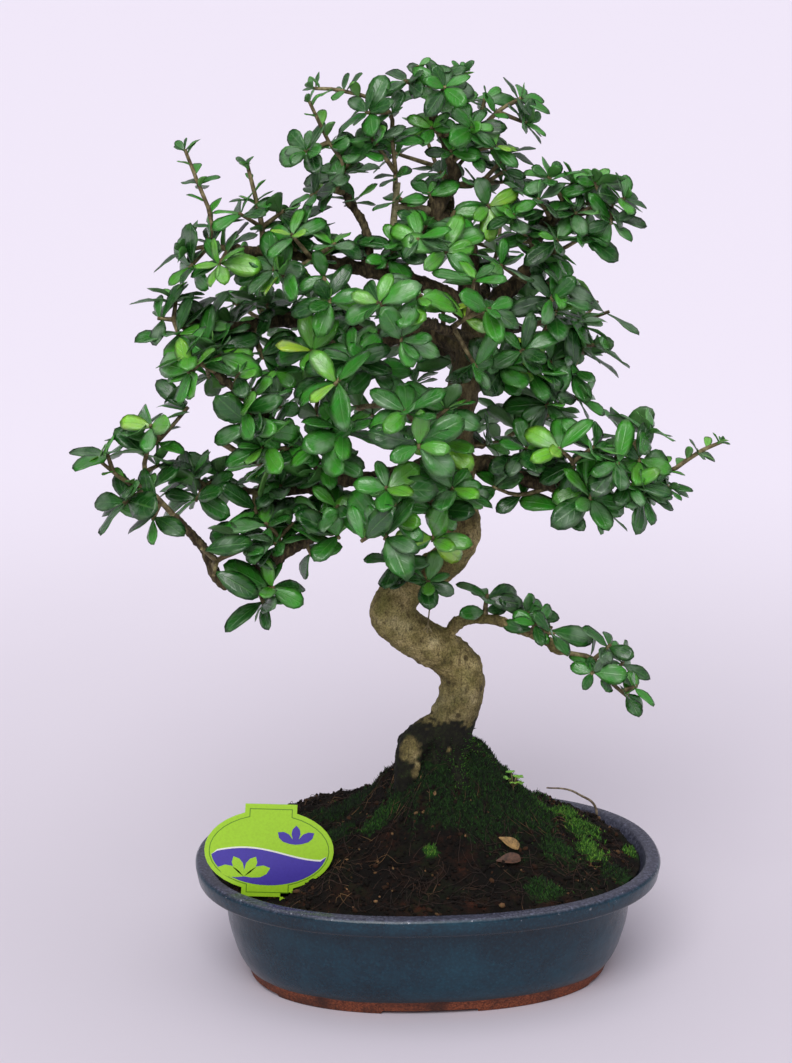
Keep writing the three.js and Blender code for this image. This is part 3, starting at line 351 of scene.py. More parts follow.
body = add_node(
    glaze, "Mix", {"Factor": 0.42}, {6: (pool_colour, "Color"), 7: (crystal_colour, "Color")},
    data_type="RGBA",
)
slate = add_node(
    glaze, "ValToRGB", links={"Fac": (crystals, "Fac")},
    stops=[(0.35, "#2a2b39"), (0.68, "#65667b"), (0.52, "#444656")],
)
# Where the lip is slate: its glaze colour, with a painted reflection of the pale room on the faces that look
# up
lip_share = add_node(
    glaze, "MapRange", {1: level_at(LIP_EDGE - 1.8), 2: level_at(LIP_EDGE + 0.6)}, {0: (level, 0)},
    interpolation_type="SMOOTHSTEP",
)
lip_inside = add_node(glaze, "Attribute", attribute_name="inner_lip")
reflection_and_slate_share = add_node(glaze, "Math", links={0: (lip_share, 0), 1: (lip_inside, "Fac")}, operation="MAXIMUM")
lipped = add_node(
    glaze, "Mix", links={"Factor": (reflection_and_slate_share, 0), 6: (body, 2), 7: (slate, "Color")}, data_type="RGBA"
)
# Painted shade: a darker band on the body just under the lip's overhang
lip_shade_band = add_node(glaze, "MapRange", {1: level_at(LIP_SHADE_BOTTOM), 2: level_at(LIP_SHADE_TOP)}, {0: (level, 0)})
ring = add_node(
    glaze, "ValToRGB", links={"Fac": (lip_shade_band, 0)},
    stops=[(0.0, "#ffffff"), (1.0, "#ffffff"), (0.4, "#ffffff"), (0.62, "#59616b"), (0.78, "#8a93a0")],
)
lip_shaded = add_node(
    glaze, "Mix", {"Factor": 0.8}, {6: (lipped, 2), 7: (ring, "Color")}, data_type="RGBA",
    blend_type="MULTIPLY",
)
# Painted highlight: pale glints flecked along the lip's rounded outer edge, below its flat top
painted_glint_noise = add_node(
    glaze, "TexNoise", {"Scale": 260, "Detail": 5, "Roughness": 0.75}, {"Vector": (places, "Object")}
)
painted_glint_band = add_node(
    glaze, "MapRange", {1: level_at(GLINT_BOTTOM), 2: level_at(GLINT_TOP)}, {0: (height, "Z")},
    interpolation_type="SMOOTHSTEP",
)
painted_glint_top = add_node(
    glaze, "MapRange", {1: level_at(LIP_FLAT_FROM), 2: level_at(LIP_FLAT_TO), 3: 1, 4: 0}, {0: (height, "Z")}
)
painted_glint_edge = add_node(glaze, "Math", links={0: (painted_glint_band, 0), 1: (painted_glint_top, 0)}, operation="MULTIPLY")
painted_glint_spots = add_node(glaze, "MapRange", {1: 0.62, 2: 0.68}, {0: (painted_glint_noise, "Fac")})
painted_glint = add_node(glaze, "Math", links={0: (painted_glint_edge, 0), 1: (painted_glint_spots, 0)}, operation="MULTIPLY")
glinted = add_node(
    glaze, "Mix", {7: hex_colour("#b9bcc4")}, {"Factor": (painted_glint, 0), 6: (lip_shaded, 2)}, data_type="RGBA"
)
grit = add_node(
    glaze, "TexNoise", {"Scale": 900, "Detail": 3, "Roughness": 0.7}, {"Vector": (places, "Object")}
)
bare = add_node(
    glaze, "ValToRGB", links={"Fac": (grit, "Fac")},
    stops=[(0.35, "#4a2517"), (0.7, "#a35c38"), (0.52, "#7c4028")],
)
stain = add_node(glaze, "MapRange", {1: 0.48, 2: 0.66, 3: 0, 4: 0.75}, {0: (drift, "Fac")})
stained = add_node(
    glaze, "Mix", {7: hex_colour("#2b1c17")}, {0: (stain, 0), 6: (bare, "Color")}, data_type="RGBA"
)
foot_share = add_node(
    glaze, "MapRange", {1: level_at(GLAZE_LINE - 2.3), 2: level_at(GLAZE_LINE - 1.7)}, {0: (level, 0)}
)
glaze_roll = add_node(
    glaze, "MapRange", {1: level_at(GLAZE_LINE - 1.6), 2: level_at(GLAZE_LINE + 1.5), 3: 0.35, 4: 1},
    {0: (level, 0)},
)
rolled = add_node(
    glaze, "Mix", {"Factor": 1}, {6: (glinted, 2), 7: (glaze_roll, 0)}, data_type="RGBA", blend_type="MULTIPLY"
)
surface = add_node(
    glaze, "Mix", links={"Factor": (foot_share, 0), 6: (stained, 2), 7: (rolled, 2)}, data_type="RGBA"
)
link(glaze, surface, 2, shader, "Base Color")
smooth = add_node(glaze, "MapRange", {1: 0.3, 2: 0.7, 3: 0.2, 4: 0.36}, {0: (pools, "Fac")})
gloss = add_node(glaze, "Mix", {2: 0.85}, {0: (foot_share, 0), 3: (smooth, 0)}, data_type="FLOAT")
link(glaze, gloss, 0, shader, "Roughness")
dimples = add_node(glaze, "TexNoise", {"Scale": 130, "Detail": 2}, {"Vector": (places, "Object")})
relief = add_node(
    glaze, "Mix", links={0: (foot_share, 0), 2: (grit, "Fac"), 3: (dimples, "Fac")}, data_type="FLOAT"
)
bump = add_node(glaze, "Bump", {"Strength": 0.35, "Distance": 0.9 * MM}, {"Height": (relief, 0)})
link(glaze, bump, "Normal", shader, "Normal")
shader.inputs["IOR"].default_value = 1.52
shader.inputs["Specular IOR Level"].default_value = 0.4
pot.data.materials.append(glaze)
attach(pot, "root")
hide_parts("pot")

# Drain screens: squares of moulded plastic mesh that lie on the pot's floor over the drain holes and keep
# the soil in. They show only from below, through the holes.
SCREEN_SIZE = 30
SCREEN_CELLS = 9
SCREEN_HEIGHT = 15.35
STRAND = 0.9
plastic_mesh, shader, places = new_material("moulded_plastic_mesh")
grain = add_node(plastic_mesh, "TexNoise", {"Scale": 700, "Detail": 2}, {"Vector": (places, "Object")})
dull_black = add_node(
    plastic_mesh, "ValToRGB", links={"Fac": (grain, "Fac")}, stops=[(0.3, "#232624"), (0.7, "#343835")]
)
link(plastic_mesh, dull_black, "Color", shader, "Base Color")
shader.inputs["Roughness"].default_value = 0.6
for side, x in zip(("left", "right"), DRAIN_HOLES):
    bpy.ops.object.select_all(action="DESELECT")
    bpy.ops.mesh.primitive_grid_add(
        x_subdivisions=SCREEN_CELLS, y_subdivisions=SCREEN_CELLS, size=(SCREEN_SIZE - 1) * MM,
        location=at(x, 0, SCREEN_HEIGHT),
    )
    screen = bpy.context.object
    screen.name = f"drain_mesh_{side}"
    bpy.ops.object.transform_apply()
    strands = screen.modifiers.new("strands", "WIREFRAME")
    strands.thickness = STRAND * MM
    strands.use_even_offset = False
    apply_modifiers(screen)
    screen.data.materials.append(plastic_mesh)
    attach(screen, "root")
    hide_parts(f"drain_screen_{side}")

# Soil: peaty potting mix that fills the pot, domed, with the old root ball as a mound round the trunk. The
# surface is broken into crumbs, and moss has spread over the mound's right flank and down to the rim.
SOIL_REACH = (119, 86)
SOIL_EDGE = 67
SOIL_DOME = 22
SOIL_BACK = 13
# The mound: middle x, y, height and reach
MOUND = (12, 6, 47, 40)
# Half length and height of the soil's underside and of its side against the pot's wall
SOIL_SKIRT = [(0, 14.85), (94.6, 14.85), (103.6, 30), (107.6, 56)]
# Its flat top, before the surface is shaped: half length and height
SOIL_TOP = (118.6, 72)
SOIL_RINGS = 150
SOIL_STEPS = 400
# The soil sinks round the label: middle x, y, depth and the reach across and to the back in millimetres
HOLLOW = (-89, -48, 10.5, 19, 12)
# Moss patches: middle x, y, reach along and across in millimetres, share of bright young moss
MOSS = [
    (33, -2, 24, 34, 0.16), (52, 8, 18, 30, 0.25), (20, -28, 13, 12, 0.15), (66, 17, 11, 8, 0.6),
    (79, 20, 12, 9, 0.7), (88, 5, 10, 13, 0.65), (88, -22, 9, 13, 0.75), (113, -8, 4, 6, 0.7),
    (-28, -16, 11, 6, 0.35), (-3, -44, 4, 3, 0.7), (57, -66, 11, 6, 0.3), (-16, 38, 17, 14, 0.2),
    (48, 46, 22, 12, 0.4), (-52, -8, 12, 7, 0.15), (70, -30, 13, 11, 0.3), (22, 30, 24, 20, 0.12),
    (-8, -10, 12, 16, 0.1), (6, -22, 12, 14, 0.12), (100, -40, 12, 8, 0.2), (-45, 20, 20, 10, 0.1),
]


def soil_height(x, y):
    """How high the soil lies at a place: dome, mound, slow waves and the hollow under the label."""
    share = min(abs(x / SOIL_REACH[0]) ** OVAL_POWER + abs(y / SOIL_REACH[1]) ** OVAL_POWER, 1)
    edge = share ** (1 / OVAL_POWER)
    away = math.hypot(x - MOUND[0], y - MOUND[1]) / MOUND[3]
    bumps = 1.1 * math.sin(x * 0.31 + y * 0.17) * math.sin(y * 0.27 - x * 0.11)
    dome = SOIL_DOME * (1 - edge**2) ** 0.8 + SOIL_BACK * max(0, y / SOIL_REACH[1]) * (1 - edge**8)
    off_hollow = math.hypot((x - HOLLOW[0]) / HOLLOW[3], (y - HOLLOW[1]) / HOLLOW[4])
    sunk = min(HOLLOW[2] * math.exp(-(off_hollow**2)), 4.5 + 50 * (1 - edge))
    return SOIL_EDGE + dome + MOUND[2] * math.exp(-(away**2.6)) + bumps - sunk


def moss_share(x, y):
    """How mossy the soil is at a place, and how bright the moss is there, both from 0 to 1."""
    cover, bright = 0.0, 0.0
    ragged = sum(
        share * noise.noise(Vector((x, y, 9 * share)) / reach)
        for share, reach in ((0.5, 9), (0.5, 3.2), (0.6, 1.4))
    )
    for middle_x, middle_y, along, across, young in MOSS:
        away = math.hypot((x - middle_x) / along, (y - middle_y) / across) + ragged
        here = max(0.0, min(1.0, (1.2 - away) * 1.5))
        if here > cover:
            cover, bright = here, young
    return cover, bright


def crumb_height(x, y):
    """The broken surface of the mix: clods a centimetre across, crumbs of 3 to 5 mm, grit and soft tufts."""
    spot = Vector((x, y, 0))
    clods = noise.fractal(spot / 13, 0.8, 2.1, 3)
    crumbs = 0.5 - noise.voronoi(spot / 4.4)[0][0]
    grit_size = 0.5 - noise.voronoi(spot / 2.1 + Vector((7, 3, 0)))[0][0]
    tufts = noise.noise(spot / 2.7)
    return 1.7 * clods + 1.2 * crumbs + 0.5 * grit_size + 1.6 * tufts


top_reach, top_height = SOIL_TOP
soil_rows = SOIL_SKIRT + [(top_reach * (1 - ring / SOIL_RINGS), top_height) for ring in range(SOIL_RINGS + 1)]
soil = turned_oval("potting_soil", soil_rows, [], SOIL_STEPS)
spots = oval_places(points_of(soil))
mossiness = np.zeros(len(spots))
youth = np.zeros(len(spots))
for index, (x, y, z) in enumerate(spots):
    if z > top_height - 1:
        mossiness[index], youth[index] = moss_share(x, y)
        from_middle = abs(x / SOIL_REACH[0]) ** OVAL_POWER + abs(y / SOIL_REACH[1]) ** OVAL_POWER
        rim = min(1.0, (1 - from_middle) * 9)
        spots[index][2] = soil_height(x, y) + crumb_height(x, y) * max(rim, 0.15) + 1.2 * mossiness[index]
place_points(soil, spots)
for name, shares in (("moss", mossiness), ("young_moss", youth)):
    soil.data.attributes.new(name, "FLOAT", "POINT").data.foreach_set("value", shares)
select_only(soil)
bpy.ops.object.shade_smooth()

mix, shader, places = new_material("damp_peat_potting_mix")
damp = add_node(mix, "TexNoise", {"Scale": 70, "Detail": 6, "Roughness": 0.7}, {"Vector": (places, "Object")})
damp_colour = add_node(
    mix, "ValToRGB", links={"Fac": (damp, "Fac")},
    stops=[(0.32, "#030201"), (0.74, "#4a2517"), (0.5, "#0c0704"), (0.62, "#211008")],
)
specks = add_node(
    mix, "TexNoise", {"Scale": 520, "Detail": 4, "Roughness": 0.8}, {"Vector": (places, "Object")}
)
speck_share = add_node(mix, "MapRange", {1: 0.6, 2: 0.74, 3: 0, 4: 0.55}, {0: (specks, "Fac")})
specked = add_node(
    mix, "Mix", {7: hex_colour("#4a2c1b")}, {0: (speck_share, 0), 6: (damp_colour, "Color")}, data_type="RGBA"
)
film = add_node(
    mix, "TexNoise", {"Scale": 38, "Detail": 7, "Roughness": 0.75}, {"Vector": (places, "Object")}
)
film_share = add_node(mix, "MapRange", {1: 0.5, 2: 0.62, 3: 0, 4: 0.75}, {0: (film, "Fac")})
filmed = add_node(
    mix, "Mix", {7: hex_colour("#131a08")}, {0: (film_share, 0), 6: (specked, 2)}, data_type="RGBA"
)
moss_here = add_node(mix, "Attribute", attribute_name="moss")
youth_here = add_node(mix, "Attribute", attribute_name="young_moss")
old_green = add_node(
    mix, "ValToRGB", links={"Fac": (specks, "Fac")}, stops=[(0.35, "#050c03"), (0.65, "#172e10")]
)
young_green = add_node(
    mix, "ValToRGB", links={"Fac": (specks, "Fac")}, stops=[(0.35, "#12300b"), (0.68, "#35701c")]
)
green = add_node(
    mix, "Mix", links={0: (youth_here, "Fac"), 6: (old_green, "Color"), 7: (young_green, "Color")},
    data_type="RGBA",
)
mossed = add_node(mix, "Mix", links={0: (moss_here, "Fac"), 6: (filmed, 2), 7: (green, 2)}, data_type="RGBA")
link(mix, mossed, 2, shader, "Base Color")
shader.inputs["Roughness"].default_value = 0.93
shader.inputs["Specular IOR Level"].default_value = 0.25
rough_bump = add_node(mix, "Bump", {"Strength": 0.9, "Distance": 1.2 * MM}, {"Height": (specks, "Fac")})
link(mix, rough_bump, "Normal", shader, "Normal")
soil.data.materials.append(mix)
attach(soil, "root")
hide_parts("soil")

# Crumbs: loose lumps of the same mix and a few lighter bits of bark and root, 1 to 4 mm across, scattered
# over the surface by hand watering. Each is a rough pebble pressed half into the soil.
CRUMBS = 4200
SCATTER_REACH = (116, 83)
# The trunk's foot on the mound: middle x, y and how wide a place it keeps clear
TRUNK_FOOT = (8, 1, 17)


def scattered_spot(draw):
    """A place on the soil inside the rim, clear of the trunk."""
    reach_x, reach_y = SCATTER_REACH
    while True:
        x, y = draw.uniform(-reach_x, reach_x), draw.uniform(-reach_y, reach_y)
        inside = abs(x / reach_x) ** OVAL_POWER + abs(y / reach_y) ** OVAL_POWER < 1
        if inside and math.hypot(x - TRUNK_FOOT[0], y - TRUNK_FOOT[1]) > TRUNK_FOOT[2]:
            return x, y


def lay_copies(name, original, point_sets, tints):
    """One piece made of copies of a small mesh, each with its own points, in metres, and its own tint."""
    source = original.data
    corners = len(source.vertices)
    faces = [tuple(face.vertices) for face in source.polygons]
    every_face = [
        tuple(corner + index * corners for corner in face)
        for index in range(len(point_sets))
        for face in faces
    ]
    mesh = bpy.data.meshes.new(name)
    mesh.from_pydata(np.concatenate(point_sets).tolist(), [], every_face, shade_flat=False)
    mesh.attributes.new("tint", "FLOAT", "POINT").data.foreach_set("value", np.repeat(tints, corners))
    if "underside" in source.attributes:
        below = np.empty(corners)
        source.attributes["underside"].data.foreach_get("value", below)
        under_layer = mesh.attributes.new("underside", "FLOAT", "POINT")
        under_layer.data.foreach_set("value", np.tile(below, len(point_sets)))
    if source.uv_layers:
        plan_places = np.empty(len(source.loops) * 2)
        source.uv_layers[0].data.foreach_get("uv", plan_places)
        mesh.uv_layers.new(name="UVMap").data.foreach_set("uv", np.tile(plan_places, len(point_sets)))
    piece = bpy.data.objects.new(name, mesh)
    bpy.context.collection.objects.link(piece)
    return piece


def moved(points, place):
    """Points carried by a 4 by 4 matrix."""
    return (np.c_[points, np.ones(len(points))] @ np.array(place).T)[:, :3]


bpy.ops.object.select_all(action="DESELECT")
bpy.ops.mesh.primitive_ico_sphere_add(subdivisions=1, radius=0.5)
crumb = bpy.context.object
for vertex in crumb.data.vertices:
    vertex.co *= 1 + 0.45 * noise.noise(vertex.co * 3.1 + Vector((4, 1, 2)))
    vertex.co.z *= 0.75
select_only(crumb)
bpy.ops.object.shade_smooth()
draw = random.Random(11)
crumb_shape = points_of(crumb)
crumb_points, crumb_tints = [], []
for _ in range(CRUMBS):
    x, y = scattered_spot(draw)
    size = draw.uniform(0.9, 2.2) if draw.random() < 0.9 else draw.uniform(2.2, 3.8)
    angle = draw.uniform(0, 6.28)
    turn = Matrix.Rotation(angle, 4, Vector((draw.random(), draw.random(), draw.random() + 0.1)))
    stretch = Matrix.Diagonal((size * MM * draw.uniform(0.8, 1.7), size * MM, size * MM, 1))
    ground = soil_height(x, y) + crumb_height(x, y) + size * 0.12
    crumb_points.append(moved(crumb_shape, Matrix.Translation(at(x, y, ground)) @ turn @ stretch))
    crumb_tints.append(draw.random() ** 7)
crumbs = lay_copies("soil_crumbs", crumb, crumb_points, crumb_tints)
bpy.data.objects.remove(crumb)

lump, shader, places = new_material("peat_and_bark_crumbs")
tint = add_node(lump, "Attribute", attribute_name="tint")
lump_colour = add_node(
    lump, "ValToRGB", links={"Fac": (tint, "Fac")},
    stops=[(0, "#0c0704"), (1, "#8a6a48"), (0.3, "#1d110a"), (0.75, "#3f2818")],
)
pits = add_node(
    lump, "TexNoise", {"Scale": 900, "Detail": 3, "Roughness": 0.7}, {"Vector": (places, "Object")}
)
pitted = add_node(
    lump, "Mix", {0: 0.5}, {6: (lump_colour, "Color"), 7: (pits, "Color")}, data_type="RGBA",
    blend_type="OVERLAY",
)
link(lump, pitted, 2, shader, "Base Color")
lump_bump = add_node(lump, "Bump", {"Strength": 0.8, "Distance": 0.8 * MM}, {"Height": (pits, "Fac")})
link(lump, lump_bump, "Normal", shader, "Normal")
shader.inputs["Roughness"].default_value = 0.92
shader.inputs["Specular IOR Level"].default_value = 0.25
crumbs.data.materials.append(lump)
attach(crumbs, "root")

# Fibres: hair-thin strands of peat and coir on the mix, 8 to 26 mm long, lying as they fell. Each is a
# fine three-sided stem laid just over the surface.
FIBRES = 620
FIBRE_RADII = [0.17, 0.16, 0.14, 0.12, 0.08]
# Fibres stay this far from the middle, inside the rim
FIBRE_REACH = (112, 78)


def stems(name, routes, radii, ring_sides, steps):
    """Round stems along smooth curves through points in millimetres, closed at both ends, as one mesh.
    radii has one list of radii in millimetres for each route."""
    curve = bpy.data.curves.new(name, "CURVE")
    curve.dimensions = "3D"
    curve.bevel_depth = MM
    curve.bevel_resolution = (ring_sides - 4) // 2
    curve.resolution_u = steps
    curve.use_fill_caps = True
    for route, sizes in zip(routes, radii):
        line = curve.splines.new("BEZIER")
        line.bezier_points.add(len(route) - 1)
        for knot, place, size in zip(line.bezier_points, route, sizes):
            knot.co = at(*place)
            knot.handle_left_type = knot.handle_right_type = "AUTO"
            knot.radius = size
    piece = bpy.data.objects.new(name, curve)
    bpy.context.collection.objects.link(piece)
    select_only(piece)
    bpy.ops.object.convert(target="MESH")
    piece = bpy.context.object
    bpy.ops.object.shade_smooth()
    return piece


draw = random.Random(23)
fibre_routes = []
for _ in range(FIBRES):
    x, y = scattered_spot(draw)
    heading = draw.uniform(0, 6.28)
    length = draw.uniform(8, 26)
    route = []
    for step in range(len(FIBRE_RADII)):
        lift = 0.5 + (1.6 * draw.random() if step in (2, 3) else 0.2)
        route.append((x, y, soil_height(x, y) + crumb_height(x, y) + lift))
        heading += draw.uniform(-0.6, 0.6)
        x += math.cos(heading) * length / 4
        y += math.sin(heading) * length / 4
        x, y = (max(-reach, min(reach, here)) for here, reach in zip((x, y), FIBRE_REACH))
    fibre_routes.append(route)
fibres = stems("soil_fibres", fibre_routes, [FIBRE_RADII] * FIBRES, 4, 2)
coir, shader, places = new_material("dry_coir_fibre")
shade = add_node(coir, "TexNoise", {"Scale": 60, "Detail": 2}, {"Vector": (places, "Object")})
coir_colour = add_node(
    coir, "ValToRGB", links={"Fac": (shade, "Fac")},
    stops=[(0.35, "#1c110a"), (0.7, "#7a5a38"), (0.56, "#38241a")],
)
link(coir, coir_colour, "Color", shader, "Base Color")
shader.inputs["Roughness"].default_value = 0.8
fibres.data.materials.append(coir)
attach(fibres, "root")

# Moss: thousands of short leafy shoots that stand close together and make a soft green pile, dark on the
# old mound and bright where it is young. A shoot is a slim three-sided spike rooted in the soil.
MOSS_SHOOTS = 15000
bpy.ops.object.select_all(action="DESELECT")
bpy.ops.mesh.primitive_cone_add(vertices=3, radius1=0.5, depth=1, location=(0, 0, 0.3))
shoot = bpy.context.object
bpy.ops.object.transform_apply()
draw = random.Random(37)
shoot_shape = points_of(shoot)
shoot_points, shoot_tints = [], []
while len(shoot_points) < MOSS_SHOOTS:
    x, y = scattered_spot(draw)
    cover, bright = moss_share(x, y)
    if draw.random() > cover**1.4:
        continue
    lean = Vector((draw.uniform(-0.7, 0.7), draw.uniform(-0.7, 0.7), 1)).normalized()
    tall = draw.uniform(1.6, 3.6) * (0.7 + 0.5 * cover)
    wide = draw.uniform(0.6, 1.1)
    spot = at(x, y, soil_height(x, y) + crumb_height(x, y) + 1.0 * cover)
    turn = lean.to_track_quat("Z", "Y").to_matrix().to_4x4()
    size = Matrix.Diagonal((wide * MM, wide * MM, tall * MM, 1))
    shoot_points.append(moved(shoot_shape, Matrix.Translation(spot) @ turn @ size))
    shoot_tints.append(max(0, min(1, bright * 0.8 + draw.uniform(-0.25, 0.35))))
moss = lay_copies("moss", shoot, shoot_points, shoot_tints)
moss_green, shader, places = new_material("living_moss")
tint = add_node(moss_green, "Attribute", attribute_name="tint")
moss_colour = add_node(
    moss_green, "ValToRGB", links={"Fac": (tint, "Fac")},
    stops=[(0, "#060f04"), (1, "#76aa38"), (0.3, "#142a0d"), (0.65, "#35621c")],
)
flicker = add_node(moss_green, "TexNoise", {"Scale": 300, "Detail": 2}, {"Vector": (places, "Object")})
varied = add_node(
    moss_green, "Mix", {0: 0.4}, {6: (moss_colour, "Color"), 7: (flicker, "Color")}, data_type="RGBA",
    blend_type="OVERLAY",
)
link(moss_green, varied, 2, shader, "Base Color")
shader.inputs["Roughness"].default_value = 0.7
shader.inputs["Specular IOR Level"].default_value = 0.3
moss.data.materials.append(moss_green)
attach(moss, "root")

# Wood: trunk, surface roots and limbs in one living piece. The trunk was bent in an S when it was young; its
# thin bark is pale tan where the light reaches it, and darker, rougher and mossy on limbs and foot; up in the
# crown and on the higher limbs the darker tone is the older bark's own, deepened by painted shade.
TRUNK_ROUTE = [
    (6, 4, 62), (6, 3, 92), (7, 2, 117), (10, 1, 137), (13, 0, 150), (18, 0, 164), (19, 0, 174), (13, 0, 185),
    (1, -2, 194), (-13, -4, 204), (-21, -5, 215), (-17, -4, 223), (-8, -2, 230), (6, 2, 238), (15, 4, 247),
    (19, 5, 257), (18, 5, 270), (17, 4, 286), (15, 2, 303), (15, 1, 320), (18, 0, 336), (22, 0, 350),
    (25, 3, 374),
]
TRUNK_RADII = [
    6, 12, 16, 14.5, 12.5, 11.8, 12.2, 12, 12.2, 12, 11.6, 11.2, 10.8, 10.4, 10, 9.6, 9, 8.7, 8.6, 8.6, 9,
    8.8, 7.5,
]
# Roots and limbs: first and last radius, then the route
ROOTS = [
    (9, 6.5, [(8, 0, 146), (-3, -4, 143), (-10, -7, 137), (-12, -8, 126), (-13, -8, 110), (-15, -8, 92)]),
    (8, 4, [(12, 2, 140), (26, 2, 127), (38, 4, 108), (46, 5, 92)]),
    (8, 4, [(12, 4, 138), (9, 20, 121), (4, 34, 100), (0, 42, 88)]),
    (8, 4, [(10, 0, 136), (15, -15, 120), (20, -26, 100), (24, -34, 88)]),
]
LIMBS = [
    (4.2, 2.2, [(10, -1, 191), (11, -3, 201), (18, -6, 209), (30, -10, 211), (48, -14, 206), (75, -20, 193)]),
    (6, 2.4, [
        (17, 4, 276), (-18, -18, 277), (-38, -24, 276), (-57, -28, 270), (-82, -32, 257), (-109, -35, 243),
        (-116, -35, 246), (-120, -34, 257), (-138, -32, 279),
    ]),
    (5.5, 2.2, [
        (15, 2, 302), (-26, -26, 295), (-48, -32, 298), (-58, -34, 303), (-77, -36, 321), (-115, -42, 358),
    ]),
    (3, 1.8, [(-48, -32, 298), (-61, -22, 290), (-78, -14, 286), (-116, -8, 286)]),
    (6, 2, [(23, 2, 360), (2, 14, 364), (-30, 20, 362), (-68, 18, 372), (-100, 10, 371), (-131, 4, 376)]),
    (5.5, 2.2, [
        (24, 2, 374), (5, -8, 391), (-17, -14, 400), (-54, -20, 410), (-72, -20, 414), (-105, -14, 417),
    ]),
    (3, 1.8, [(-34, -18, 406), (-34, -16, 423), (-46, -14, 445)]),
    (7, 2, [(25, 3, 372), (22, 4, 387), (18, 2, 417), (2, -2, 433), (12, 2, 447), (11, 2, 459), (1, 0, 485)]),
    (5.5, 2.2, [(26, 4, 372), (38, 8, 384), (54, 10, 400), (62, 8, 424), (89, 0, 433)]),
    (5, 2.2, [(20, 1, 337), (45, 8, 344), (76, 12, 352)]),
    (5, 2.4, [(16, 3, 290), (32, -4, 297), (59, -10, 286), (75, -12, 290), (98, -16, 300)]),
    (4, 2, [(15, 0, 313), (1, -52, 327), (-7, -70, 333)]),
    (4, 2, [(16, 2, 285), (4, -32, 291), (-21, -66, 291)]),
    (4, 2, [(23, 0, 361), (12, -32, 373), (-16, -72, 390)]),
    (4.5, 2.6, [(15, 3, 300), (24, 26, 300), (34, 46, 296)]),
    (4.5, 2.6, [(22, 2, 352), (14, 24, 354), (2, 46, 350)]),
    (4, 2.4, [(25, 4, 376), (30, 24, 382), (36, 40, 388)]),
    (4.5, 2.6, [(18, 2, 333), (6, 30, 326), (-14, 56, 316)]),
    (4, 2.4, [(22, 1, 356), (40, 18, 364), (54, 34, 363)]),
    (3.4, 2, [(6, -1, 428), (12, 14, 434), (12, 26, 440)]),
    (3.4, 2.2, [(-30, 20, 362), (-42, 30, 366), (-50, 40, 366)]),
    (3.4, 2.2, [(-38, -24, 276), (-50, -6, 282), (-60, 12, 283)]),
]
BARK_VOXEL = 1.05
# The trunk's neck stands on the mound: moss covers it up to here, and damp darkens it 3 cm further up
NECK_TOP = 152
# Bare pale places on the mossy neck: x, y, z, reach
PALE_PLACES = [(-11.5, -14, 138, 4.6), (-6, -15, 125, 3.6), (10, -14, 137, 1.1)]


def tapered(first, last, count):
    """Evenly spaced numbers from first to last."""
    return [first + (last - first) * index / (count - 1) for index in range(count)]


routes = [TRUNK_ROUTE] + [route for _, _, route in ROOTS + LIMBS]
radii = [TRUNK_RADII] + [tapered(first, last, len(route)) for first, last, route in ROOTS + LIMBS]
wood = stems("tree_wood", routes, radii, 16, 5)
joined = wood.modifiers.new("joined", "REMESH")
joined.mode = "VOXEL"
joined.voxel_size = BARK_VOXEL * MM
settled = wood.modifiers.new("settled", "SMOOTH")
settled.factor = 0.5
settled.iterations = 4
apply_modifiers(wood)
# The trunk's middle line in short steps, with its radius at each
STEPS = 6
trunk_line = np.array([
    Vector(a).lerp(Vector(b), share / STEPS)
    for a, b in zip(TRUNK_ROUTE, TRUNK_ROUTE[1:])
    for share in range(STEPS)
])
trunk_size = np.array([
    a + (b - a) * share / STEPS
    for a, b in zip(TRUNK_RADII, TRUNK_RADII[1:])
    for share in range(STEPS)
])
trunk_places = KDTree(len(trunk_line))
for index, spot in enumerate(trunk_line):
    trunk_places.insert(spot, index)
trunk_places.balance()


def gap_to_trunk(spot):
    """How far a place is from the trunk's bark, in millimetres."""
    _, nearest, away = trunk_places.find(spot)
    return away - trunk_size[nearest]


bark_spots = (points_of(wood) - np.array(POT_MIDDLE)) / MM
outward = np.empty(len(bark_spots) * 3)
wood.data.vertex_normals.foreach_get("vector", outward)
outward = outward.reshape(-1, 3)
# Each place of the bark is pushed out by waves, wrinkles, knobs, scales and grain, coarse to fine, and
# keeps how far it belongs to a limb and how mossy it is
limbness = np.empty(len(bark_spots))
mossy_foot = np.zeros(len(bark_spots))
for index, spot in enumerate(bark_spots):
    limbness[index] = max(0.0, min(1.0, (gap_to_trunk(spot) - 1.5) / 4))
    here = Vector(spot)
    trunk_part = 1 - limbness[index]
    waves = noise.fractal(here / 17, 0.9, 2, 2) * (0.9 * trunk_part + 0.25)
    wrinkles = noise.noise(Vector((here.x / 9, here.y / 9, here.z / 2.6))) * 0.35 * trunk_part
    knobs = max(0.0, noise.noise(here / 5.2) - 0.18) * (1.8 + 1.6 * limbness[index])
    scales = (0.5 - noise.voronoi(here / 2.6)[0][0]) * (0.25 + 0.4 * limbness[index])
    grain = noise.noise(here / 1.5) * 0.3
    bark_spots[index] += outward[index] * (waves + wrinkles + knobs + scales + grain)
    if here.z < NECK_TOP + 40:
        ragged = 5 * noise.noise(here / 8) + 4 * noise.noise(here / 2.4)
        damp = 0.42 * max(0.0, min(1.0, (NECK_TOP + 30 + 3 * ragged - here.z) / 22))
        cover = max(damp, min(1.0, (NECK_TOP + ragged - here.z) / 4 + 0.5))
        for x, y, z, reach in PALE_PLACES:
            away = math.hypot(here.x - x, here.y - y, (here.z - z) * 0.75) / reach
            away += 0.55 * noise.noise(here / 3)
            cover *= max(0.08, min(1.0, (away - 0.8) * 1.6))
        mossy_foot[index] = cover
place_points(wood, bark_spots)
for name, shares in (("limb", limbness), ("mossy_foot", mossy_foot)):
    wood.data.attributes.new(name, "FLOAT", "POINT").data.foreach_set("value", shares)
select_only(wood)
bpy.ops.object.shade_smooth()

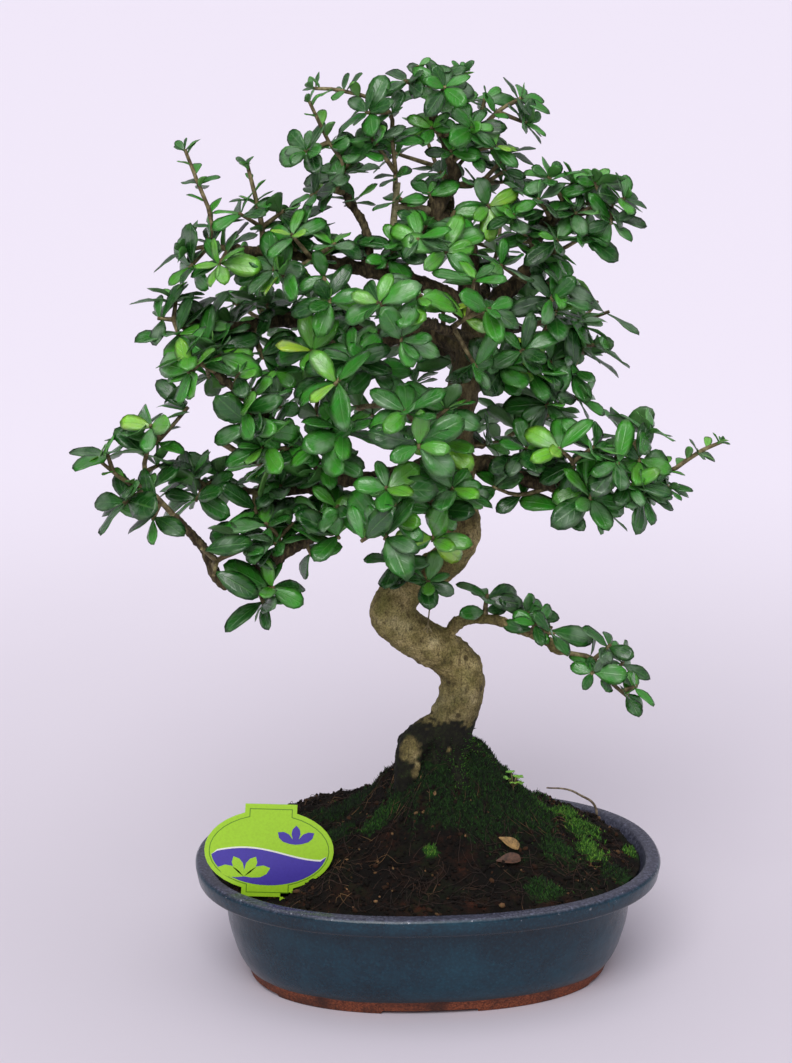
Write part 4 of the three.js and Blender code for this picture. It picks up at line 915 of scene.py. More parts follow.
bark, shader, places = new_material("thin_tan_bark")
height = add_node(bark, "SeparateXYZ", links={"Vector": (places, "Object")})
cloudy = add_node(
    bark, "TexNoise", {"Scale": 75, "Detail": 5, "Roughness": 0.6}, {"Vector": (places, "Object")}
)
tan = add_node(
    bark, "ValToRGB", links={"Fac": (cloudy, "Fac")},
    stops=[(0.3, "#554d2c"), (0.72, "#c8ba8a"), (0.44, "#857849"), (0.58, "#ab9c6a")],
)
lichen_noise = add_node(
    bark, "TexNoise", {"Scale": 48, "Detail": 4, "Distortion": 0.6}, {"Vector": (places, "Object")}
)
lichen_share = add_node(bark, "MapRange", {1: 0.46, 2: 0.66, 3: 0, 4: 0.75}, {0: (lichen_noise, "Fac")})
olive = add_node(
    bark, "Mix", {7: hex_colour("#6c6a34")}, {0: (lichen_share, 0), 6: (tan, "Color")}, data_type="RGBA"
)
upright = add_node(bark, "Mapping", {"Scale": (1, 1, 0.35)}, {"Vector": (places, "Object")})
cracks = add_node(
    bark, "TexNoise", {"Scale": 420, "Detail": 5, "Roughness": 0.75}, {"Vector": (upright, "Vector")}
)
crack_share = add_node(bark, "MapRange", {1: 0.52, 2: 0.66, 3: 0, 4: 0.8}, {0: (cracks, "Fac")})
cracked = add_node(
    bark, "Mix", {7: hex_colour("#4a3c24")}, {0: (crack_share, 0), 6: (olive, 2)}, data_type="RGBA"
)
dots = add_node(bark, "TexVoronoi", {"Scale": 130, "Randomness": 1}, {"Vector": (places, "Object")})
dot_noise = add_node(bark, "TexNoise", {"Scale": 110, "Detail": 2}, {"Vector": (places, "Object")})
dot_size = add_node(bark, "MapRange", {1: 0.45, 2: 0.7, 3: 0, 4: 0.3}, {0: (dot_noise, "Fac")})
dot_gap = add_node(bark, "Math", links={0: (dots, "Distance"), 1: (dot_size, 0)}, operation="SUBTRACT")
dot_share = add_node(bark, "MapRange", {1: -0.06, 2: 0.04, 3: 0.75, 4: 0}, {0: (dot_gap, 0)})
dotted = add_node(
    bark, "Mix", {7: hex_colour("#3a2c18")}, {0: (dot_share, 0), 6: (cracked, 2)}, data_type="RGBA"
)
grit = add_node(
    bark, "TexNoise", {"Scale": 1000, "Detail": 3, "Roughness": 0.7}, {"Vector": (places, "Object")}
)
grit_tone = add_node(
    bark, "ValToRGB", links={"Fac": (grit, "Fac")}, stops=[(0.36, "#4c4c4c"), (0.6, "#dadada")]
)
gritty = add_node(
    bark, "Mix", {0: 0.6}, {6: (dotted, 2), 7: (grit_tone, "Color")}, data_type="RGBA", blend_type="OVERLAY"
)
limb_here = add_node(bark, "Attribute", attribute_name="limb")
# Painted shade: the bark darkens up in the crown and, more with height, on the limbs, where the foliage
# shades it; the dark tone is also the older bark's own
crown = add_node(bark, "MapRange", {1: level_at(262), 2: level_at(330), 3: 0, 4: 0.8}, {0: (height, "Z")})
low_limb = add_node(
    bark, "MapRange", {1: level_at(215), 2: level_at(250), 3: 0.25, 4: 0.95}, {0: (height, "Z")}
)
limb_share = add_node(bark, "Math", links={0: (limb_here, "Fac"), 1: (low_limb, 0)}, operation="MULTIPLY")
shade_and_old_share = add_node(bark, "Math", links={0: (limb_share, 0), 1: (crown, 0)}, operation="MAXIMUM")
old_bark_in_shade = add_node(
    bark, "ValToRGB", links={"Fac": (cracks, "Fac")},
    stops=[(0.36, "#6b5e42"), (0.68, "#14100a"), (0.52, "#362c1d")],
)
aged_and_shaded = add_node(
    bark, "Mix", links={0: (shade_and_old_share, 0), 6: (gritty, 2), 7: (old_bark_in_shade, "Color")}, data_type="RGBA"
)
foot_here = add_node(bark, "Attribute", attribute_name="mossy_foot")
moss_grain = add_node(
    bark, "TexNoise", {"Scale": 260, "Detail": 5, "Roughness": 0.75}, {"Vector": (places, "Object")}
)
mossy = add_node(
    bark, "ValToRGB", links={"Fac": (moss_grain, "Fac")},
    stops=[(0.34, "#080704"), (0.72, "#2f4a18"), (0.5, "#15140a"), (0.62, "#1f240f")],
)
footed = add_node(
    bark, "Mix", links={0: (foot_here, "Fac"), 6: (aged_and_shaded, 2), 7: (mossy, "Color")}, data_type="RGBA"
)
link(bark, footed, 2, shader, "Base Color")
shader.inputs["Roughness"].default_value = 0.82
shader.inputs["Specular IOR Level"].default_value = 0.3
bark_bump = add_node(
    bark, "Bump", {"Strength": 0.9, "Distance": 1.3 * MM}, {"Height": (cracks, "Fac")}, invert=True
)
link(bark, bark_bump, "Normal", shader, "Normal")
wood.data.materials.append(bark)
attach(wood, "root")
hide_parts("wood")

# Neck moss: the mound's moss climbs the shaded right flank of the trunk's neck. Its shoots are shorter
# there, stand out from the bark and thin out towards the top.
NECK_SHOOTS = 5200
NECK_BOTTOM = 75
draw = random.Random(41)
neck_points, neck_tints = [], []
while len(neck_points) < NECK_SHOOTS:
    index = draw.randrange(len(bark_spots))
    x, y, z = bark_spots[index]
    greenness = min(1, (x + 9) / 16) * min(1, (NECK_TOP - 6 - z) / 10)
    if mossy_foot[index] < 0.5 or z < NECK_BOTTOM or draw.random() > greenness:
        continue
    lean = Vector(outward[index]) + Vector((draw.uniform(-0.5, 0.5), draw.uniform(-0.5, 0.5), 0.5))
    turn = lean.to_track_quat("Z", "Y").to_matrix().to_4x4()
    size = Matrix.Diagonal((0.9 * MM, 0.9 * MM, draw.uniform(1.2, 2.6) * MM, 1))
    neck_points.append(moved(shoot_shape, Matrix.Translation(at(x, y, z)) @ turn @ size))
    neck_tints.append(draw.uniform(0, 0.7) * (0.6 + 0.5 * min(1, max(0, x / 12))))
neck_moss = lay_copies("neck_moss", shoot, neck_points, neck_tints)
neck_moss.data.materials.append(moss_green)
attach(neck_moss, "root")
bpy.data.objects.remove(shoot)

# Leaf: a leathery, glossy little blade, narrow at its foot and widest near its tip, which is blunt and
# nearly smooth. It is grown once here, flat, and every leaf of the tree is a bent copy of it.
# Its rows, from foot to tip, are a share of the length and a share of the half width.
BLADE_ROWS = [(0, 0.08), (0.12, 0.28), (0.28, 0.66), (0.46, 0.92), (0.64, 1.0), (0.82, 0.84)]
BLADE_TIP = [(-0.52, 0.935), (-0.27, 0.965), (0, 1), (0.27, 0.965), (0.52, 0.935)]
BLADE_COLUMNS = 4
BLADE_HALF_THICKNESS = 0.22
bpy.ops.object.select_all(action="DESELECT")
bpy.ops.mesh.primitive_grid_add(x_subdivisions=BLADE_COLUMNS, y_subdivisions=len(BLADE_ROWS), size=2)
leaf = bpy.context.object
leaf.name = "leaf"
bpy.ops.object.mode_set(mode="EDIT")
bpy.ops.mesh.select_all(action="SELECT")
bpy.ops.mesh.duplicate()
bpy.ops.mesh.flip_normals()
bpy.ops.object.mode_set(mode="OBJECT")
sheet_count = len(leaf.data.vertices) // 2
underneath = []
for vertex in leaf.data.vertices:
    column = round((vertex.co.x + 1) * BLADE_COLUMNS / 2)
    row = round((vertex.co.y + 1) * len(BLADE_ROWS) / 2)
    below = vertex.index >= sheet_count
    underneath.append(float(below))
    share = column / (BLADE_COLUMNS / 2) - 1
    if row < len(BLADE_ROWS):
        place = (share * BLADE_ROWS[row][1], BLADE_ROWS[row][0])
    else:
        place = BLADE_TIP[column]
    on_edge = row in (0, len(BLADE_ROWS)) or column in (0, BLADE_COLUMNS)
    rib = column == BLADE_COLUMNS // 2
    lift = 0 if on_edge else BLADE_HALF_THICKNESS * ((-2.2 if rib else -1) if below else (0.2 if rib else 1))
    vertex.co = (*place, lift)
leaf.data.attributes.new("underside", "FLOAT", "POINT").data.foreach_set("value", underneath)
select_only(leaf)
bpy.ops.object.mode_set(mode="EDIT")
bpy.ops.mesh.select_all(action="SELECT")
bpy.ops.mesh.remove_doubles(threshold=1e-5)
bpy.ops.object.mode_set(mode="OBJECT")
bpy.ops.object.shade_smooth()
blade_shape = points_of(leaf)

waxy_leaf, shader, places = new_material("waxy_evergreen_leaf")
tint = add_node(waxy_leaf, "Attribute", attribute_name="tint")
leaf_colour = add_node(
    waxy_leaf, "ValToRGB", links={"Fac": (tint, "Fac")},
    stops=[(0, "#0f2e0e"), (1, "#c2e24a"), (0.2, "#1f561c"), (0.45, "#3a8f28"), (0.75, "#76bf36")],
)
plan = add_node(waxy_leaf, "SeparateXYZ", links={"Vector": (places, "UV")})
off_rib = add_node(waxy_leaf, "Math", {1: 0.5}, {0: (plan, "X")}, operation="SUBTRACT")
rib_gap = add_node(waxy_leaf, "Math", links={0: (off_rib, 0)}, operation="ABSOLUTE")
rib = add_node(waxy_leaf, "MapRange", {1: 0.015, 2: 0.05, 3: 1, 4: 0}, {0: (rib_gap, 0)})
slanted = add_node(waxy_leaf, "Math", {1: -0.55}, {0: (rib_gap, 0), 2: (plan, "Y")}, operation="MULTIPLY_ADD")
vein_wave = add_node(waxy_leaf, "Math", {1: 44}, {0: (slanted, 0)}, operation="MULTIPLY")
vein_sine = add_node(waxy_leaf, "Math", links={0: (vein_wave, 0)}, operation="SINE")
vein = add_node(waxy_leaf, "MapRange", {1: 0.78, 2: 1, 3: 0, 4: 0.45}, {0: (vein_sine, 0)})
veins = add_node(waxy_leaf, "Math", links={0: (rib, 0), 1: (vein, 0)}, operation="MAXIMUM")
vein_tone = add_node(waxy_leaf, "Math", {1: 0.22}, {0: (veins, 0)}, operation="MULTIPLY")
veined = add_node(
    waxy_leaf, "Mix", {7: hex_colour("#6fae57")}, {0: (vein_tone, 0), 6: (leaf_colour, "Color")},
    data_type="RGBA",
)
blotch = add_node(waxy_leaf, "TexNoise", {"Scale": 160, "Detail": 3}, {"Vector": (places, "Object")})
mottled = add_node(
    waxy_leaf, "Mix", {0: 0.35}, {6: (veined, 2), 7: (blotch, "Color")}, data_type="RGBA",
    blend_type="OVERLAY",
)
# Painted sheen: whitish patches mixed into the leaf colour stand in for the gloss of the lights
painted_sheen_noise = add_node(waxy_leaf, "TexNoise", {"Scale": 70, "Detail": 3}, {"Vector": (places, "Object")})
painted_sheen_share = add_node(waxy_leaf, "MapRange", {1: 0.52, 2: 0.72, 3: 0, 4: 0.55}, {0: (painted_sheen_noise, "Fac")})
painted_sheen_mix = add_node(
    waxy_leaf, "Mix", {7: hex_colour("#8fa88c")}, {0: (painted_sheen_share, 0), 6: (mottled, 2)}, data_type="RGBA"
)
under = add_node(waxy_leaf, "Attribute", attribute_name="underside")
under_share = add_node(waxy_leaf, "Math", {1: 0.6}, {0: (under, "Fac")}, operation="MULTIPLY")
two_sided = add_node(
    waxy_leaf, "Mix", {7: hex_colour("#5d9148")}, {0: (under_share, 0), 6: (painted_sheen_mix, 2)}, data_type="RGBA"
)
link(waxy_leaf, two_sided, 2, shader, "Base Color")
matt_below = add_node(waxy_leaf, "MapRange", {1: 0, 2: 1, 3: 0.27, 4: 0.6}, {0: (under, "Fac")})
link(waxy_leaf, matt_below, 0, shader, "Roughness")
vein_bump = add_node(
    waxy_leaf, "Bump", {"Strength": 0.5, "Distance": 0.4 * MM}, {"Height": (veins, 0)}, invert=True
)
link(waxy_leaf, vein_bump, "Normal", shader, "Normal")
shader.inputs["IOR"].default_value = 1.5
shader.inputs["Coat Weight"].default_value = 0.35
shader.inputs["Coat Roughness"].default_value = 0.22

young_bark, shader, places = new_material("green_brown_twig_bark")
streak = add_node(
    young_bark, "TexNoise", {"Scale": 260, "Detail": 4, "Roughness": 0.7}, {"Vector": (places, "Object")}
)
twig_colour = add_node(
    young_bark, "ValToRGB", links={"Fac": (streak, "Fac")},
    stops=[(0.35, "#40361f"), (0.7, "#a0946a"), (0.52, "#6f6340")],
)
link(young_bark, twig_colour, "Color", shader, "Base Color")
twig_bump = add_node(young_bark, "Bump", {"Strength": 0.6, "Distance": 0.5 * MM}, {"Height": (streak, "Fac")})
link(young_bark, twig_bump, "Normal", shader, "Normal")
shader.inputs["Roughness"].default_value = 0.75

# Sprays: the leafy twigs at the limbs' ends. Every twig ends in a rosette of leaves that turn by the golden
# angle, the outer ones wide and low and the inner ones round the tip; first comes the twig on the wood.
SPRAYS = {
    "low_right_end": [
        [(75, -20, 193), (88, -22, 190), (97, -24, 178), (107, -26, 169)], [(88, -22, 190), (97, -24, 199)],
        [(97, -24, 178), (107, -6, 183)], [(91, -23, 185), (85, -34, 186)],
        [(103, -25, 172), (112, -24, 175)],
    ],
    "low_right_fork": [[(30, -10, 211), (30, -10, 218), (31, -10, 225)]],
    "low_right_mid": [[(54, -15, 204), (55, -22, 209), (56, -26, 213)], [(55, -22, 209), (66, -26, 206)]],
    "low_left_end": [
        [(-138, -32, 279), (-152, -33, 294), (-161, -35, 298), (-176, -38, 311)],
        [(-152, -33, 294), (-164, -40, 288)], [(-169, -37, 305), (-172, -36, 315)],
        [(-152, -33, 294), (-151, -28, 313), (-144, -26, 319), (-129, -22, 335)],
        [(-144, -26, 319), (-149, -32, 328)], [(-145, -32, 286), (-149, -38, 278)],
        [(-152, -31, 303), (-145, -14, 302)], [(-151, -28, 313), (-158, -20, 318)],
    ],
    "low_left_curl": [
        [(-117, -35, 250), (-116, -44, 257), (-107, -44, 261), (-100, -42, 263)],
        [(-116, -44, 257), (-124, -51, 266)], [(-116, -44, 257), (-118, -54, 252)],
        [(-107, -44, 261), (-106, -34, 269)],
    ],
    "low_left_hang": [
        [(-97, -34, 249), (-94, -36, 239), (-91, -38, 229)], [(-94, -36, 239), (-86, -42, 241)],
    ],
    "low_left_up": [[(-82, -32, 257), (-83, -34, 266), (-90, -36, 275)], [(-83, -34, 266), (-75, -30, 273)]],
    "low_left_inner": [
        [(-61, -29, 268), (-59, -38, 277), (-52, -46, 286)], [(-59, -38, 277), (-52, -52, 270)],
    ],
    "mid_left_end": [
        [(-115, -42, 358), (-123, -44, 363), (-131, -46, 368)], [(-123, -44, 363), (-129, -50, 359)],
        [(-115, -42, 358), (-112, -34, 366)], [(-115, -42, 358), (-118, -20, 350)],
    ],
    "mid_left_drop": [
        [(-91, -39, 339), (-97, -44, 337), (-103, -48, 338)], [(-97, -44, 337), (-98, -46, 328)],
    ],
    "mid_left_heart": [
        [(-71, -35, 316), (-80, -40, 316), (-92, -46, 318)], [(-80, -40, 316), (-84, -35, 307)],
    ],
    "mid_left_front": [
        [(-48, -32, 298), (-53, -46, 313), (-50, -56, 329)], [(-53, -46, 313), (-62, -51, 322)],
    ],
    "under_left_end": [
        [(-116, -8, 286), (-121, -8, 289), (-128, -8, 295)], [(-116, -8, 286), (-111, 0, 293)],
        [(-121, -8, 289), (-126, -15, 282)], [(-116, -8, 286), (-124, 14, 284)],
    ],
    "under_left_mid": [
        [(-94, -11, 285), (-95, -18, 281), (-94, -22, 276)], [(-94, -11, 285), (-89, -2, 292)],
    ],
    "upper_mid_left_end": [
        [(-131, 4, 376), (-144, 0, 378)], [(-131, 4, 376), (-133, -5, 369)], [(-131, 4, 376), (-134, 9, 387)],
        [(-131, 4, 376), (-117, -8, 363)],
    ],
    "upper_mid_left_mid": [
        [(-91, 12, 371), (-92, 4, 364), (-89, 0, 355)], [(-92, 4, 364), (-83, 6, 346)],
        [(-91, 12, 371), (-84, 22, 380)], [(-91, 12, 371), (-104, 34, 366)],
    ],
    "upper_mid_left_front": [
        [(-50, 19, 367), (-52, -8, 365), (-65, -34, 366)], [(-52, -8, 365), (-56, -30, 351)],
        [(-52, -8, 365), (-44, -32, 365), (-44, -54, 364)], [(-44, -32, 365), (-33, -46, 357)],
        [(-44, -54, 364), (-55, -66, 355)],
    ],
    "upper_left_end": [
        [(-105, -14, 417), (-117, -12, 418), (-130, -10, 415)], [(-117, -12, 418), (-127, -14, 407)],
        [(-117, -12, 418), (-115, -8, 430), (-122, -4, 451), (-128, 0, 467)],
        [(-105, -14, 417), (-108, 12, 412)],
    ],
    "upper_left_shoot": [
        [(-89, -18, 416), (-89, -14, 428), (-92, -12, 443), (-96, -10, 460)],
        [(-89, -14, 428), (-77, -10, 436)], [(-89, -14, 428), (-101, -17, 436)],
    ],
    "upper_left_mid": [
        [(-63, -20, 412), (-64, -32, 414), (-75, -36, 428)], [(-64, -32, 414), (-80, -36, 406)],
        [(-64, -32, 414), (-58, -44, 405), (-56, -50, 394)], [(-64, -32, 414), (-52, -37, 423)],
        [(-63, -20, 412), (-66, 4, 420), (-74, 22, 424)],
    ],
    "left_apex_end": [
        [(-46, -14, 445), (-55, -14, 447), (-64, -16, 444)],
        [(-46, -14, 445), (-46, -14, 458), (-54, -16, 472), (-64, -16, 493)],
        [(-46, -14, 458), (-37, -18, 469)], [(-54, -16, 472), (-67, -23, 468)],
        [(-46, -14, 445), (-44, 12, 452)],
    ],
    "apex_top": [
        [(1, 0, 485), (-3, 0, 496), (-7, 0, 509)], [(-3, 0, 496), (6, 4, 503)],
        [(1, 0, 485), (11, 4, 492), (17, 6, 505)], [(-3, 0, 496), (-14, -6, 502)],
    ],
    "apex_left": [
        [(2, -2, 433), (-18, -10, 442), (-19, -10, 455), (-21, -10, 473)], [(-19, -10, 455), (-32, -17, 474)],
        [(-21, -10, 473), (-22, -8, 486), (-47, -4, 497), (-61, -2, 498)], [(-22, -8, 486), (-35, -17, 487)],
    ],
    "apex_right": [
        [(11, 2, 459), (23, 4, 470), (36, 6, 484), (49, 8, 491)], [(23, 4, 470), (30, 8, 492)],
        [(23, 4, 470), (18, -8, 479)], [(36, 6, 484), (51, 4, 478)],
    ],
    "apex_mid": [
        [(12, 2, 447), (27, 6, 446), (41, 8, 453)], [(27, 6, 446), (44, 10, 463)],
        [(27, 6, 446), (31, -2, 434)], [(27, 6, 446), (42, 26, 444)],
    ],
    "apex_front": [[(8, 0, 427), (-1, -20, 425), (-10, -35, 424)], [(-1, -20, 425), (5, -37, 417)]],
    "upper_right_end": [
        [(89, 0, 433), (96, -2, 437), (103, -4, 439)], [(89, 0, 433), (87, 2, 447)],
        [(96, -2, 437), (95, -8, 426)], [(89, 0, 433), (86, 24, 432)],
    ],
    "upper_right_mid": [[(74, 4, 429), (70, 0, 438), (62, -2, 451)], [(70, 0, 438), (77, 8, 447)]],
    "upper_right_inner": [
        [(55, 10, 406), (67, 2, 410), (83, -4, 420)], [(67, 2, 410), (66, -12, 419)],
        [(55, 10, 406), (49, 0, 422), (43, -8, 432)],
    ],
    "upper_right_low": [
        [(47, 9, 394), (62, 2, 393), (71, -4, 392)], [(62, 2, 393), (64, -10, 386)],
        [(47, 9, 394), (36, -12, 406)],
    ],
    "mid_right_end": [
        [(76, 12, 352), (84, 12, 357), (92, 12, 357)], [(76, 12, 352), (81, 14, 371)],
        [(84, 12, 357), (77, 4, 343)], [(76, 12, 352), (88, 34, 348)],
    ],
    "mid_right_low": [[(64, 11, 349), (68, 6, 337), (82, 2, 329)], [(68, 6, 337), (62, -7, 328)]],
    "mid_right_up": [[(55, 9, 347), (60, 4, 363), (68, 0, 379)], [(60, 4, 363), (47, -15, 360)]],
    "low_right_mid_up": [
        [(98, -16, 300), (108, -18, 309), (116, -20, 317)], [(108, -18, 309), (110, -27, 301)],
        [(98, -16, 300), (106, 8, 308)], [(98, -16, 300), (96, -40, 304)],
    ],
    "low_right_shoot": [
        [(93, -15, 298), (106, -12, 291), (125, -10, 290), (147, -7, 302), (158, -5, 306)],
        [(106, -12, 291), (115, -15, 281)], [(125, -10, 290), (128, -17, 283)],
    ],
    "low_right_twig": [
        [(59, -10, 286), (73, -10, 279), (89, -10, 273)], [(59, -10, 286), (46, -16, 282), (32, -21, 288)],
        [(73, -10, 279), (70, -21, 274)],
    ],
    "low_right_heart": [[(75, -12, 290), (74, -26, 302), (65, -35, 312)], [(74, -26, 302), (85, -29, 311)]],
    "front_mid_end": [
        [(-7, -70, 333), (-14, -80, 337), (-21, -88, 346)], [(-14, -80, 337), (-14, -91, 327)],
        [(1, -52, 327), (4, -62, 341)],
    ],
    "front_low_end": [
        [(-21, -66, 291), (-26, -76, 286), (-31, -85, 278)], [(-21, -66, 291), (-30, -82, 305)],
        [(-26, -76, 286), (-43, -84, 277)],
    ],
    "front_low_mid": [[(-8, -49, 291), (-2, -56, 283), (-4, -60, 269)], [(-2, -56, 283), (6, -67, 300)]],
    "front_up_end": [
        [(-16, -72, 390), (-24, -82, 395), (-35, -90, 402)], [(-24, -82, 395), (-23, -92, 382)],
        [(-16, -72, 390), (-12, -81, 404)],
    ],
    "front_up_mid": [
        [(6, -40, 377), (14, -56, 387), (25, -64, 393)], [(14, -56, 387), (17, -61, 408)],
        [(6, -40, 377), (20, -46, 358)],
    ],
    "trunk_low": [[(-7, -4, 229), (-14, -20, 240), (-20, -28, 250)], [(-14, -20, 240), (-3, -35, 240)]],
    "back_low": [
        [(34, 46, 296), (46, 66, 291), (60, 84, 294), (79, 110, 294)], [(60, 84, 294), (50, 105, 298)],
        [(60, 84, 294), (80, 84, 304)], [(46, 66, 291), (24, 80, 286)],
    ],
    "back_middle": [
        [(2, 46, 350), (-10, 68, 348), (-24, 92, 342), (-39, 116, 344)], [(-24, 92, 342), (-6, 104, 352)],
        [(-24, 92, 342), (-44, 88, 334)], [(-10, 68, 348), (12, 78, 340)],
    ],
    "back_up": [
        [(36, 40, 388), (40, 60, 392), (46, 82, 398), (50, 103, 412)], [(46, 82, 398), (66, 94, 400)],
        [(46, 82, 398), (28, 92, 402)], [(40, 60, 392), (20, 62, 404)],
    ],
    "back_left": [
        [(-14, 56, 316), (-34, 78, 310), (-56, 100, 301), (-75, 118, 303)],
        [(-56, 100, 301), (-52, 114, 314)], [(-56, 100, 301), (-78, 92, 308)],
        [(-34, 78, 310), (-22, 96, 300)],
    ],
    "back_right": [
        [(54, 34, 363), (72, 50, 363), (88, 66, 358), (103, 84, 367)], [(88, 66, 358), (106, 60, 366)],
        [(88, 66, 358), (80, 84, 346)], [(72, 50, 363), (60, 68, 372)],
    ],
    "back_apex": [
        [(12, 26, 440), (8, 44, 450), (2, 64, 468)], [(8, 44, 450), (-14, 56, 456)],
        [(8, 44, 450), (24, 54, 460)], [(11, 32, 443), (26, 30, 462)],
    ],
    "back_upper_left": [
        [(-50, 40, 366), (-68, 54, 366), (-84, 66, 363), (-102, 84, 370)], [(-84, 66, 363), (-92, 62, 378)],
        [(-84, 66, 363), (-82, 88, 354)], [(-68, 54, 366), (-58, 74, 374)],
    ],
    "back_low_left": [
        [(-60, 12, 283), (-76, 30, 286), (-92, 46, 287), (-110, 62, 294)], [(-92, 46, 287), (-88, 66, 280)],
        [(-92, 46, 287), (-112, 42, 302)], [(-76, 30, 286), (-60, 46, 278)],
    ],
}
GOLDEN_ANGLE = 137.508
LONGEST_BLADE = 25
WIDEST_BLADE = 0.25
STEEPEST = -0.3
FEWEST_LEAVES = 6
MOST_LEAVES = 9
TWIG_TIP = 1.0
# Rosettes along a twig are numbered from here, and those on spurs from SPUR_NUMBERS, so that no two have
# the same leaves
JOINT_NUMBERS = 400
# Sprays with only a few leaves at the end of a twig
SPARSE = {
    "low_right_end": 5, "low_right_mid": 5, "low_right_fork": 5, "low_left_curl": 4, "low_left_hang": 6,
    "low_left_up": 5, "low_left_inner": 6, "low_left_end": 6, "under_left_end": 6, "under_left_mid": 5,
    "low_right_twig": 6, "low_right_mid_up": 7, "low_right_heart": 7, "mid_left_front": 7,
}
# Open places in the crown where the light comes through, as seen from the front: x, z and reach
OPEN_PLACES = [
    (-121, 330, 15), (-128, 252, 21), (101, 396, 12), (63, 273, 9), (110, 304, 7), (72, 212, 8), (2, 445, 8),
    (-6, 399, 9), (-23, 365, 9), (-16, 522, 8), (-60, 244, 9), (-40, 260, 9), (-135, 454, 7), (-86, 463, 8),
    (-147, 387, 7), (-47, 340, 6), (-104, 300, 6), (25, 395, 5),
]
# Weak sprays, whose leaves are smaller
SMALL_LEAVED = {
    "low_right_end": 0.68, "low_right_mid": 0.7, "low_right_fork": 0.8, "low_right_shoot": 0.6,
    "trunk_low": 0.8,
}
UP = Vector((0, 0, 1))
# Long young shoots with small pale leaves set one by one: spray and the twig's number in it
SHOOTS = {
    ("apex_left", 2), ("upper_left_end", 2), ("upper_left_shoot", 0), ("low_left_end", 0),
    ("low_right_shoot", 0), ("apex_top", 0), ("apex_top", 2), ("left_apex_end", 1),
}


def chance(a, b, c):
    """Evenly scattered numbers from 0 to 1 that depend only on the three counts given."""
    wave = math.sin(a * 12.9898 + b * 78.233 + c * 37.719) * 43758.5453
    return wave - math.floor(wave)


def leaf_place(rosette, k, tip, heading, size):
    """Where leaf k of a rosette grows: its foot, its three directions, its size in millimetres, its droop.
    None hangs steeply; size shrinks the leaves of weak twigs."""
    axis = (heading + UP * 0.7).normalized()
    first = Vector((0.2, 1, 0.1)).cross(axis).normalized()
    second = axis.cross(first)
    turn = math.radians(GOLDEN_ANGLE * k + 360 * chance(rosette, 0, 1) + 30 * chance(rosette, k, 2))
    lean = math.radians(90 - 6.5 * k + 16 * (chance(rosette, k, 3) - 0.5))
    along = axis * math.cos(lean) + (first * math.cos(turn) + second * math.sin(turn)) * math.sin(lean)
    along.z = max(along.z, STEEPEST)
    along.normalize()
    # Leaves on the low right branch and at the crown's top turn to the front
    to_front = 1.1 if tip.z < 235 and tip.x > 25 else 0.5 * max(0, min(1, (tip.z - 430) / 30))
    facing = axis * 0.5 + UP * 0.8 + Vector((tip.x - 15, tip.y - 25, 0)).normalized() * 0.8
    facing.y -= to_front
    up = (facing - along * facing.dot(along)).normalized()
    up = Matrix.Rotation(1.1 * (chance(rosette, k, 14) - 0.5), 3, along) @ up
    # They are smaller towards the top
    vigour = 1.06 - 0.26 * max(0, min(1, (tip.z - 330) / 120))
    length = size * vigour * (LONGEST_BLADE - 1.3 * k) * (0.78 + 0.36 * chance(rosette, k, 4))
    return {
        "foot": tip - heading * 0.4 * (8 - k), "along": along, "up": up, "length": length,
        "half_width": length * WIDEST_BLADE * (0.85 + 0.4 * chance(rosette, k, 5)),
        "droop": 0.12 + 0.2 * chance(rosette, k, 6),
    }


def grown_leaf(place, curl=0.0):
    """The leaf's points at its place, bent down along its length and raised at its edges, in metres."""
    share, along_share, lift = blade_shape.T
    length, half_width = place["length"], place["half_width"]
    rise = (
        lift - place["droop"] * length * along_share**2
        + 0.2 * half_width * np.abs(share) - curl * half_width * share**2
        + 0.14 * half_width * share * np.sin(7 * along_share + 60 * place["droop"])
    )
    across = place["up"].cross(place["along"])
    spots = (
        np.array(place["foot"]) + np.outer(along_share * length, place["along"])
        + np.outer(share * half_width, across) + np.outer(rise, place["up"])
    )
    return spots * MM + np.array(POT_MIDDLE)


def is_clear_of_trunk(place):
    """False where the blade's middle or tip would lie in the trunk."""
    spots_on_blade = [place["foot"] + place["along"] * place["length"] * share for share in (0.5, 1)]
    return all(gap_to_trunk(spot) > 1 for spot in spots_on_blade)


def is_in_the_open(place):
    """True where the blade's middle would close one of the crown's open places, seen from the front."""
    x, y, z = place["foot"] + place["along"] * place["length"] * 0.6
    x, z = x - (y + 30) * math.tan(CAMERA_HEADING), z + (y + 30) * math.tan(CAMERA_PITCH)
    return any(math.hypot(x - middle_x, z - middle_z) < reach for middle_x, middle_z, reach in OPEN_PLACES)


def leaf_count(rosette, spray):
    """How many leaves a twig's end carries."""
    choices = MOST_LEAVES - FEWEST_LEAVES + 1
    return SPARSE.get(spray) or FEWEST_LEAVES + int(choices * chance(rosette, 2, 15))


def leaf_tone(rosette, k, tip):
    """Old outer leaves are dark; the inner ones and whole rosettes here and there are young and bright, and
    those in front are painted brighter, as lit from the front."""
    young = 0.35 if chance(rosette, 3, 11) > 0.88 else 0
    # Painted light: leaves in front are made brighter, as lit
    painted_front_light = 0.1 * max(0, min(1, (-tip.y - 20) / 50))
    old = 0.04 + 0.42 * chance(rosette, k, 12) ** 1.3 + 0.02 * k
    return min(1, old + painted_front_light + young * (0.5 + 0.09 * k))


def rosette_leaves(rosette, tip, heading, first, last, size=1.0):
    """Leaves first to last of a rosette, each as its points and its tone."""
    leaves = []
    for k in range(first, last):
        place = leaf_place(rosette, k, tip, heading, size)
        if is_clear_of_trunk(place) and not is_in_the_open(place):
            leaves.append((grown_leaf(place, 0.2 * chance(rosette, k, 13)), leaf_tone(rosette, k, tip)))
    return leaves


